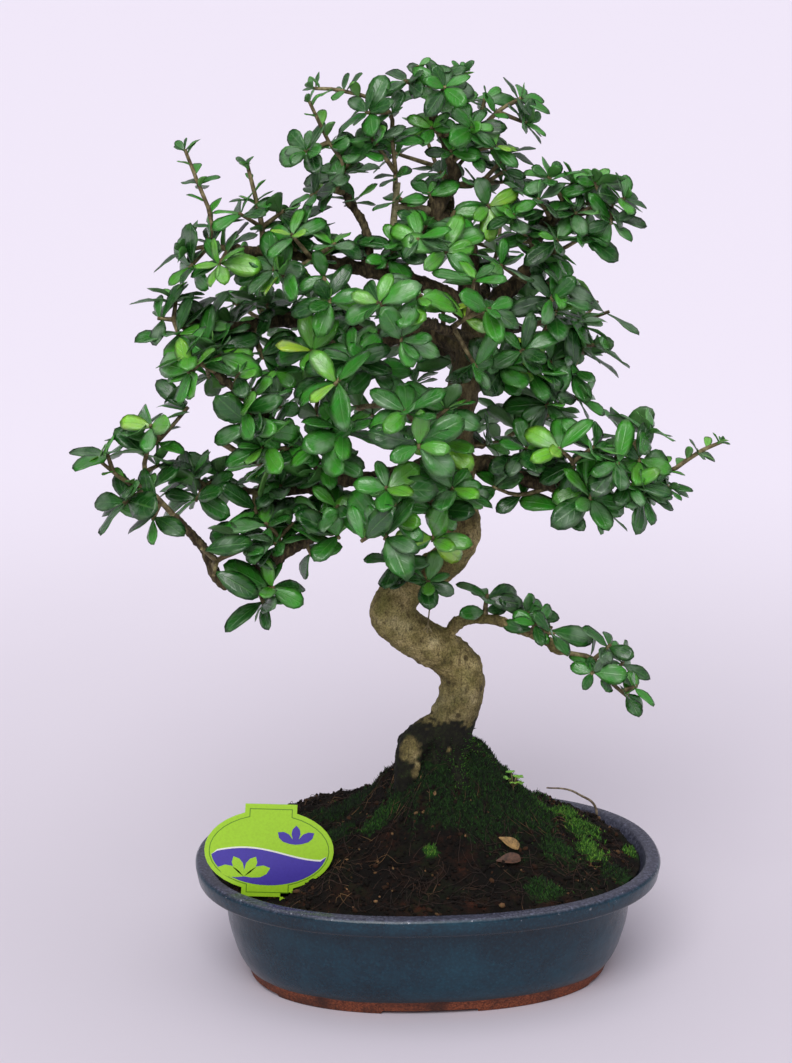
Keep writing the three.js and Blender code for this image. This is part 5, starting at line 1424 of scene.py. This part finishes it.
def shoot_leaves(rosette, route):
    """Small pale leaves, one after the other on both sides of a young shoot, smaller towards its tip."""
    leaves = []
    lengths = [(Vector(b) - Vector(a)).length for a, b in zip(route, route[1:])]
    total, walked, count = sum(lengths), 0, 0
    for (a, b), length in zip(zip(route, route[1:]), lengths):
        heading = (Vector(b) - Vector(a)).normalized()
        side = heading.cross(Vector((0.1, -1, 0.3))).normalized()
        steps = max(1, round(length / 6.5))
        for step in range(steps):
            reached = (walked + length * (step + 0.5) / steps) / total
            if reached > 0.3:
                spot = Vector(a).lerp(Vector(b), (step + 0.5) / steps)
                turn = Matrix.Rotation(count * 2.4 + chance(rosette, count, 21), 3, heading)
                along = (turn @ side + heading * 0.75 + UP * 0.2).normalized()
                facing = UP * 0.8 + heading * 0.3
                length_here = (17 - 9 * reached) * (0.8 + 0.4 * chance(rosette, count, 22))
                place = {
                    "foot": spot, "along": along, "up": (facing - along * facing.dot(along)).normalized(),
                    "length": length_here, "half_width": length_here * 0.24,
                    "droop": 0.15 + 0.15 * chance(rosette, count, 23),
                }
                leaves.append((grown_leaf(place), 0.45 + 0.35 * reached * chance(rosette, count, 24)))
                count += 1
        walked += length
    return leaves


def nearest_on_twigs(point, made):
    """The nearest place on twigs that are there already, at least 5 mm clear of the wood at their root."""
    root = Vector(made[0][0])
    nearest = None
    for route in made:
        for a, b in zip(route, route[1:]):
            a, b = Vector(a), Vector(b)
            share = max(0, min(1, (point - a).dot(b - a) / (b - a).length_squared))
            spot = a.lerp(b, share)
            if nearest is None or (spot - point).length < (nearest - point).length:
                nearest = spot
    onward = (Vector(made[0][1]) - root).normalized()
    return root + onward * 5 if (nearest - root).length < 5 else nearest


def finished_spray(name, twig_wood, leaves):
    """One piece of the twigs and their leaves."""
    foliage = lay_copies(name, leaf, [points for points, _ in leaves], [tone for _, tone in leaves])
    twig_wood.data.materials.append(young_bark)
    foliage.data.materials.append(waxy_leaf)
    select_only(foliage, twig_wood)
    bpy.ops.object.join()
    foliage.name = name
    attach(foliage, "root")
    return foliage


rosette = 0
for spray, twigs in SPRAYS.items():
    made = []
    for index, route in enumerate(twigs):
        if index > 0:
            route = [tuple(nearest_on_twigs(Vector(route[0]), made))] + route[1:]
        made.append(route)
    twig_radii = [tapered(1.4 if index else 1.7, TWIG_TIP, len(route)) for index, route in enumerate(made)]
    twig_wood = stems("twigs", made, twig_radii, 6, 3)
    leaves = []
    size = SMALL_LEAVED.get(spray, 1)
    for index, route in enumerate(made):
        tip = Vector(route[-1])
        heading = (tip - Vector(route[-2])).normalized()
        if (spray, index) in SHOOTS:
            leaves += shoot_leaves(rosette, route)
            leaves += rosette_leaves(rosette, tip, heading, 5, MOST_LEAVES, 0.62 * size)
        else:
            leaves += rosette_leaves(rosette, tip, heading, 0, leaf_count(rosette, spray), size)
        for joint in range(1, len(route) - 1):
            spot = Vector(route[joint])
            onward = (Vector(route[joint + 1]) - spot).normalized()
            last = 3 if spray in SPARSE else 5
            leaves += rosette_leaves(JOINT_NUMBERS + rosette * 4 + joint, spot, onward, 1, last, 0.85 * size)
        rosette += 1
    foliage = finished_spray(f"leaves_{spray}", twig_wood, leaves)
    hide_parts(f"spray_{spray}")

# Spurs: short shoots straight on the limbs, a centimetre or two apart, each with a few leaves. They fill
# the crown between the sprays.
SPUR_STEP = 15
FIRST_SPUR = 0.42
# The lowest limb at the left is bare round its bend
BARE_LIMB = 1
BARE_FROM = -88
# Spurs that reach into the thin places of the crown: limb and tip
LONG_SPURS = [
    (5, (-112, -30, 411)), (5, (-20, -26, 421)), (5, (-4, -22, 429)), (5, (-84, -32, 408)),
    (10, (112, -30, 283)), (10, (104, -34, 290)), (9, (38, -12, 352)), (9, (53, -8, 347)),
    (10, (50, -20, 309)), (10, (84, -28, 281)), (7, (22, -12, 478)), (7, (34, -10, 468)),
    (4, (-112, -8, 360)), (7, (6, -16, 500)), (8, (56, -8, 440)),
]
SPUR_NUMBERS = 2000
spur = SPUR_NUMBERS


def nearest_on_route(point, route):
    """The nearest of nine places along each stretch of a limb."""
    places = [Vector(a).lerp(Vector(b), step / 8) for a, b in zip(route, route[1:]) for step in range(9)]
    return min(places, key=lambda place: (place - point).length)


for number, (_, _, route) in enumerate(LIMBS):
    lengths = [(Vector(b) - Vector(a)).length for a, b in zip(route, route[1:])]
    total, walked = sum(lengths), 0
    spur_routes, leaves = [], []
    for (a, b), length in zip(zip(route, route[1:]), lengths):
        onward = (Vector(b) - Vector(a)).normalized()
        steps = max(1, round(length / SPUR_STEP))
        for step in range(steps):
            if (walked + length * step / steps) / total > FIRST_SPUR:
                root = Vector(a).lerp(Vector(b), step / steps)
                if number == BARE_LIMB and root.x < BARE_FROM:
                    continue
                turn = Matrix.Rotation(6.28 * chance(spur, 1, 31), 3, onward)
                side = turn @ onward.cross(Vector((0.1, 0.3, 1))).normalized()
                heading = (side + UP * 0.6 + onward * 0.3).normalized()
                tip = root + heading * (7 + 5 * chance(spur, 1, 32))
                spur_routes.append([tuple(root), tuple(root.lerp(tip, 0.6) + UP * 0.5), tuple(tip)])
                leaves += rosette_leaves(spur, tip, heading, 1, 7, 0.9)
                spur += 1
        walked += length
    for limb_number, tip in LONG_SPURS:
        if limb_number == number:
            root, tip = nearest_on_route(Vector(tip), route), Vector(tip)
            spur_routes.append([tuple(root), tuple(root.lerp(tip, 0.5) + UP * 1.5), tuple(tip)])
            leaves += rosette_leaves(spur, tip, (tip - root).normalized(), 0, 8)
            leaves += rosette_leaves(spur + 500, root.lerp(tip, 0.6), (tip - root).normalized(), 1, 4, 0.85)
            spur += 1
    if leaves:
        spur_wood = stems("spurs", spur_routes, [[1.5, 1.2, 0.9]] * len(spur_routes), 6, 2)
        finished_spray(f"limb_leaves_{number:02d}", spur_wood, leaves)

# Bare limb: a pale young limb that stands upright in a gap of the crown, and the arm that holds its top. The
# smooth bark is still the grey-green of a new shoot.
BARE_ROUTES = [
    [(-20, -14, 401), (-21, -13, 418), (-20, -12, 432), (-18, -11, 450)],
    [(2, -2, 433), (-9, -7, 436), (-20, -12, 437)],
]
BARE_RADII = [[2.3, 2.0, 1.9, 1.6], [2.4, 2.1, 1.9]]
bare_limb = stems("bare_limb", BARE_ROUTES, BARE_RADII, 10, 6)
pale_bark, shader, places = new_material("pale_smooth_bark")
grain = add_node(
    pale_bark, "TexNoise", {"Scale": 300, "Detail": 4, "Roughness": 0.7}, {"Vector": (places, "Object")}
)
grain_colour = add_node(
    pale_bark, "ValToRGB", links={"Fac": (grain, "Fac")},
    stops=[(0.34, "#5d5638"), (0.68, "#b3ab86"), (0.5, "#8c8460")],
)
link(pale_bark, grain_colour, "Color", shader, "Base Color")
grain_bump = add_node(pale_bark, "Bump", {"Strength": 0.5, "Distance": 0.5 * MM}, {"Height": (grain, "Fac")})
link(pale_bark, grain_bump, "Normal", shader, "Normal")
shader.inputs["Roughness"].default_value = 0.75
bare_limb.data.materials.append(pale_bark)
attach(bare_limb, "root")

# Small growth: a flower stalk and a dry pod that hang from the crown, and a seedling on the mound. All are
# thin soft stems; the seedling's leaves are a few millimetres long.
SEED_FOOT = (47, -4)
SEED_LEAVES = 7
STALK_RADII = [0.45, 0.4, 0.35]
STALK_TIP = (-4, -37, 217)
small_routes = [
    [(-3, -35, 240), (-3, -36, 228), STALK_TIP], [STALK_TIP, (-6.5, -38, 214)],
    [STALK_TIP, (-2, -38, 213)], [STALK_TIP, (-4.5, -39, 213)],
]
POD_ROUTE = [(-11, 15.5, 363), (-11.5, 14, 357), (-11.5, 13.5, 348)]
ground = soil_height(*SEED_FOOT)
small_leaves = []
for number in range(SEED_LEAVES):
    turn = number * 2.4
    x, y = SEED_FOOT[0] + 3 * math.cos(turn), SEED_FOOT[1] + 3 * math.sin(turn)
    top = Vector((x, y, ground + 5 + number * 0.9))
    small_routes.append([(*SEED_FOOT, ground - 1), (*SEED_FOOT, ground + 3), tuple(top)])
    for side in (-1, 0, 1):
        along = Vector((math.cos(turn + side), math.sin(turn + side), 0.3)).normalized()
        small_leaves.append(grown_leaf({
            "foot": top, "along": along, "up": (UP - along * along.z).normalized(),
            "length": 3.4, "half_width": 1.1, "droop": 0.1 + 0.02 * number,
        }))
small_wood = stems("small_stems", small_routes, [STALK_RADII[: len(route)] for route in small_routes], 6, 3)
small_wood.data.materials.append(young_bark)
pod = stems("pod", [POD_ROUTE], [[0.35, 1.3, 0.5]], 8, 5)
pod.data.materials.append(young_bark)
seedling = lay_copies("seedling", leaf, small_leaves, [0.8] * len(small_leaves))
seedling.data.materials.append(waxy_leaf)
select_only(seedling, small_wood, pod)
bpy.ops.object.join()
seedling.name = "small_growth"
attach(seedling, "root")

# Plant label: a printed card of stiff plastic, an oval with a square tab above and below, moulded with a
# pointed stake. A lime band frames a plain two-colour print of a wave and two leaf sprigs.
CARD = {"width": 70, "height": 47, "tab": 28, "tab_height": 3.2, "thickness": 1}
CARD_PLACE = (-90.5, -44.5, 93.7)
CARD_TILT = -3.5
# How far the dark line, the lime band and the print lie inside the card's edge
LINE_INSET, BAND_INSET, PRINT_INSET = 2.4, 2.9, 3.6
STAKE = [(7, -23.5), (7, -39.5), (10, -47.5), (13, -39.5), (13, -23.5)]
PRINT_THICKNESS = 0.2
# The printed sprigs' leaves: turn, foot and length, and the outline that they share
SPRIG_LEAVES = [
    (20, (-13, -15), 15), (62, (-13, -15), 13), (118, (-13, -15), 13), (160, (-13, -15), 15),
    (90, (14, 4), 11), (35, (14, 4), 12), (145, (14, 4), 12),
]
SPRIG_LEAF = [(0, 0), (0.25, -0.6), (0.55, -1), (0.8, -0.8), (1, 0), (0.8, 0.8), (0.55, 1), (0.25, 0.6)]


def card_outline(inset, steps=14):
    """The card's outline, or a line inside it, as points from its middle."""
    reach_x, reach_y = CARD["width"] / 2 - inset, CARD["height"] / 2 - inset
    half_tab = CARD["tab"] / 2 - inset
    tab_angle = math.acos(half_tab / reach_x)
    outline = []
    for side in (-1, 1):
        for step in range(steps + 1):
            angle = (math.pi if side > 0 else 0) - tab_angle + 2 * tab_angle * step / steps
            outline.append((reach_x * math.cos(angle), reach_y * math.sin(angle)))
        outline.append((-side * half_tab, -side * (reach_y + CARD["tab_height"])))
        outline.append((side * half_tab, -side * (reach_y + CARD["tab_height"])))
    return outline


def plate(name, outline, front, thickness, soft=0.0):
    """A flat plate of an outline in the card's plane, which faces the front. front and thickness are in
    millimetres from the card's middle."""
    bpy.ops.object.select_all(action="DESELECT")
    bpy.ops.mesh.primitive_circle_add(vertices=len(outline), radius=1, fill_type="NGON")
    piece = bpy.context.object
    piece.name = name
    tilt = Matrix.Rotation(math.radians(CARD_TILT), 2)
    for vertex, (x, z) in zip(piece.data.vertices, outline):
        across, rise = tilt @ Vector((x, z))
        vertex.co = at(CARD_PLACE[0] + across, CARD_PLACE[1] + front, CARD_PLACE[2] + rise)
    bpy.ops.object.mode_set(mode="EDIT")
    bpy.ops.mesh.select_all(action="SELECT")
    bpy.ops.mesh.extrude_region_move(TRANSFORM_OT_translate={"value": (0, thickness * MM, 0)})
    bpy.ops.mesh.select_all(action="SELECT")
    bpy.ops.mesh.normals_make_consistent(inside=False)
    bpy.ops.object.mode_set(mode="OBJECT")
    if soft:
        edge = piece.modifiers.new("edge", "BEVEL")
        edge.width = soft * MM
        edge.segments = 2
        edge.limit_method = "ANGLE"
        edge.angle_limit = math.radians(50)
        apply_modifiers(piece)
    return piece


def gloss_print(name, code):
    """Glossy printing ink on plastic."""
    ink, shader, places = new_material(name)
    tooth = add_node(ink, "TexNoise", {"Scale": 900, "Detail": 3}, {"Vector": (places, "Object")})
    deep = [round(int(code[i : i + 2], 16) * 0.96) for i in (1, 3, 5)]
    tone = add_node(
        ink, "ValToRGB", links={"Fac": (tooth, "Fac")},
        stops=[(0.3, "#%02x%02x%02x" % tuple(deep)), (0.6, code)],
    )
    link(ink, tone, "Color", shader, "Base Color")
    sheen = add_node(ink, "MapRange", {1: 0.3, 2: 0.7, 3: 0.3, 4: 0.38}, {0: (tooth, "Fac")})
    link(ink, sheen, 0, shader, "Roughness")
    dents = add_node(ink, "Bump", {"Strength": 0.1, "Distance": 0.1 * MM}, {"Height": (tooth, "Fac")})
    link(ink, dents, "Normal", shader, "Normal")
    return ink


# Each layer of the print lies a little in front of the one before
FRONT = -CARD["thickness"] / 2
card = plate("label_card", card_outline(0), FRONT, CARD["thickness"], 0.25)
stake = plate("stake", STAKE, FRONT, CARD["thickness"], 0.25)
keyline = plate("keyline", card_outline(LINE_INSET), FRONT - 0.03, PRINT_THICKNESS)
field = plate("field", card_outline(BAND_INSET), FRONT - 0.06, PRINT_THICKNESS)
divide = [(x, -2 + 3.4 * math.sin((x + 34) * 0.075)) for x in range(-32, 33, 4)]


def below_wave(points, shift):
    """The part of the print below the wavy line, as an outline."""
    reach_x, reach_y = CARD["width"] / 2 - PRINT_INSET, CARD["height"] / 2 - PRINT_INSET
    wave = [(x, z + shift) for x, z in points if abs(x) < reach_x * 0.99]
    rim = []
    for step in range(1, 24):
        angle = -math.pi * step / 24
        x, z = reach_x * math.cos(angle), reach_y * math.sin(angle)
        rim.append((x, z))
    return wave + rim


line = plate("line", below_wave(divide, 0.9), FRONT - 0.09, PRINT_THICKNESS)
lower = plate("lower", below_wave(divide, 0), FRONT - 0.12, PRINT_THICKNESS)
sprig = []
for angle, start, length in SPRIG_LEAVES:
    turn = Matrix.Rotation(math.radians(angle), 2)
    shape = [(along * length, aside * length * 0.22) for along, aside in SPRIG_LEAF]
    outline = [tuple(turn @ Vector(point) + Vector(start)) for point in shape]
    sprig.append(plate("sprig", outline, FRONT - 0.15, PRINT_THICKNESS))
lime = gloss_print("lime_printed_plastic", "#a6d92e")
violet = gloss_print("violet_printing_ink", "#4b3fa6")
pale_ink = gloss_print("white_printing_ink", "#eef0e4")
dark_lime = gloss_print("dark_lime_printing_ink", "#5f8f1c")
inked = [(card, lime), (stake, lime), (keyline, dark_lime), (field, lime), (line, pale_ink), (lower, violet)]
inked += [(piece, lime if index < 4 else violet) for index, piece in enumerate(sprig)]
for piece, ink in inked:
    piece.data.materials.append(ink)
select_only(card, stake, keyline, field, line, lower, *sprig)
bpy.ops.object.join()
card = bpy.context.object
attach(card, "root")
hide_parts("plant_label")

# Fallen leaves: two dry leaves that dropped on the soil, one tan and one brown, curled up at the edges
# as they dried.
# Name, the CAD node, x, y, turn, length and colour
FALLEN = [
    ("tan", "fallen_leaf_tan", 34.6, -38.6, -0.52, 14, "#a5834f"),
    ("brown", "fallen_leaf_brown", 31.5, -52.1, 0.16, 15.5, "#5f4030"),
]
for name, node_name, x, y, turn, length, code in FALLEN:
    rise_left = soil_height(x - 4, y) - soil_height(x + 4, y)
    rise_front = soil_height(x, y - 4) - soil_height(x, y + 4)
    slope = Vector((rise_left, rise_front, 8)).normalized()
    along = Vector((math.cos(turn), math.sin(turn), 0))
    along = (along - slope * along.dot(slope)).normalized()
    foot = Vector((x, y, soil_height(x, y) + 2.2))
    place = {
        "foot": foot, "along": along, "up": slope,
        "length": length, "half_width": length * 0.27, "droop": 0.06,
    }
    dropped = lay_copies(f"dropped_leaf_{name}", leaf, [grown_leaf(place, -0.25)], [0.5])
    finer = dropped.modifiers.new("finer", "SUBSURF")
    finer.levels = finer.render_levels = 2
    apply_modifiers(dropped)
    dry, shader, places = new_material(f"dry_{name}_leaf")
    spots_noise = add_node(
        dry, "TexNoise", {"Scale": 330, "Detail": 4, "Roughness": 0.7}, {"Vector": (places, "Object")}
    )
    dark = "#%02x%02x%02x" % tuple(int(int(code[i : i + 2], 16) * 0.5) for i in (1, 3, 5))
    dry_colour = add_node(
        dry, "ValToRGB", links={"Fac": (spots_noise, "Fac")}, stops=[(0.34, dark), (0.6, code)]
    )
    link(dry, dry_colour, "Color", shader, "Base Color")
    dry_bump = add_node(
        dry, "Bump", {"Strength": 0.5, "Distance": 0.4 * MM}, {"Height": (spots_noise, "Fac")}
    )
    link(dry, dry_bump, "Normal", shader, "Normal")
    shader.inputs["Roughness"].default_value = 0.7
    dropped.data.materials.append(dry)
    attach(dropped, "root")
    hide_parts(node_name)

# Dead stem: a thin dry stalk left in the soil at the right, bent over near its top. Its bark is gone and
# the wood under it has bleached to straw.
DEAD_STEM = [(101, 42, 66), (100.2, 40.5, 81), (91.4, 40, 88), (84.4, 40, 91.5), (72, 40, 93)]
DEAD_RADII = [0.8, 0.75, 0.65, 0.55, 0.45]
dead_stem = stems("dead_stalk", [DEAD_STEM], [DEAD_RADII], 8, 6)
straw, shader, places = new_material("dead_woody_stalk")
straw_noise = add_node(
    straw, "TexNoise", {"Scale": 400, "Detail": 4, "Roughness": 0.7}, {"Vector": (places, "Object")}
)
straw_colour = add_node(
    straw, "ValToRGB", links={"Fac": (straw_noise, "Fac")}, stops=[(0.35, "#4a3b2c"), (0.68, "#a8977c")]
)
link(straw, straw_colour, "Color", shader, "Base Color")
straw_bump = add_node(
    straw, "Bump", {"Strength": 0.5, "Distance": 0.4 * MM}, {"Height": (straw_noise, "Fac")}
)
link(straw, straw_bump, "Normal", shader, "Normal")
shader.inputs["Roughness"].default_value = 0.8
dead_stem.data.materials.append(straw)
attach(dead_stem, "root")
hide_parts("dead_stem")

bpy.data.objects.remove(leaf)
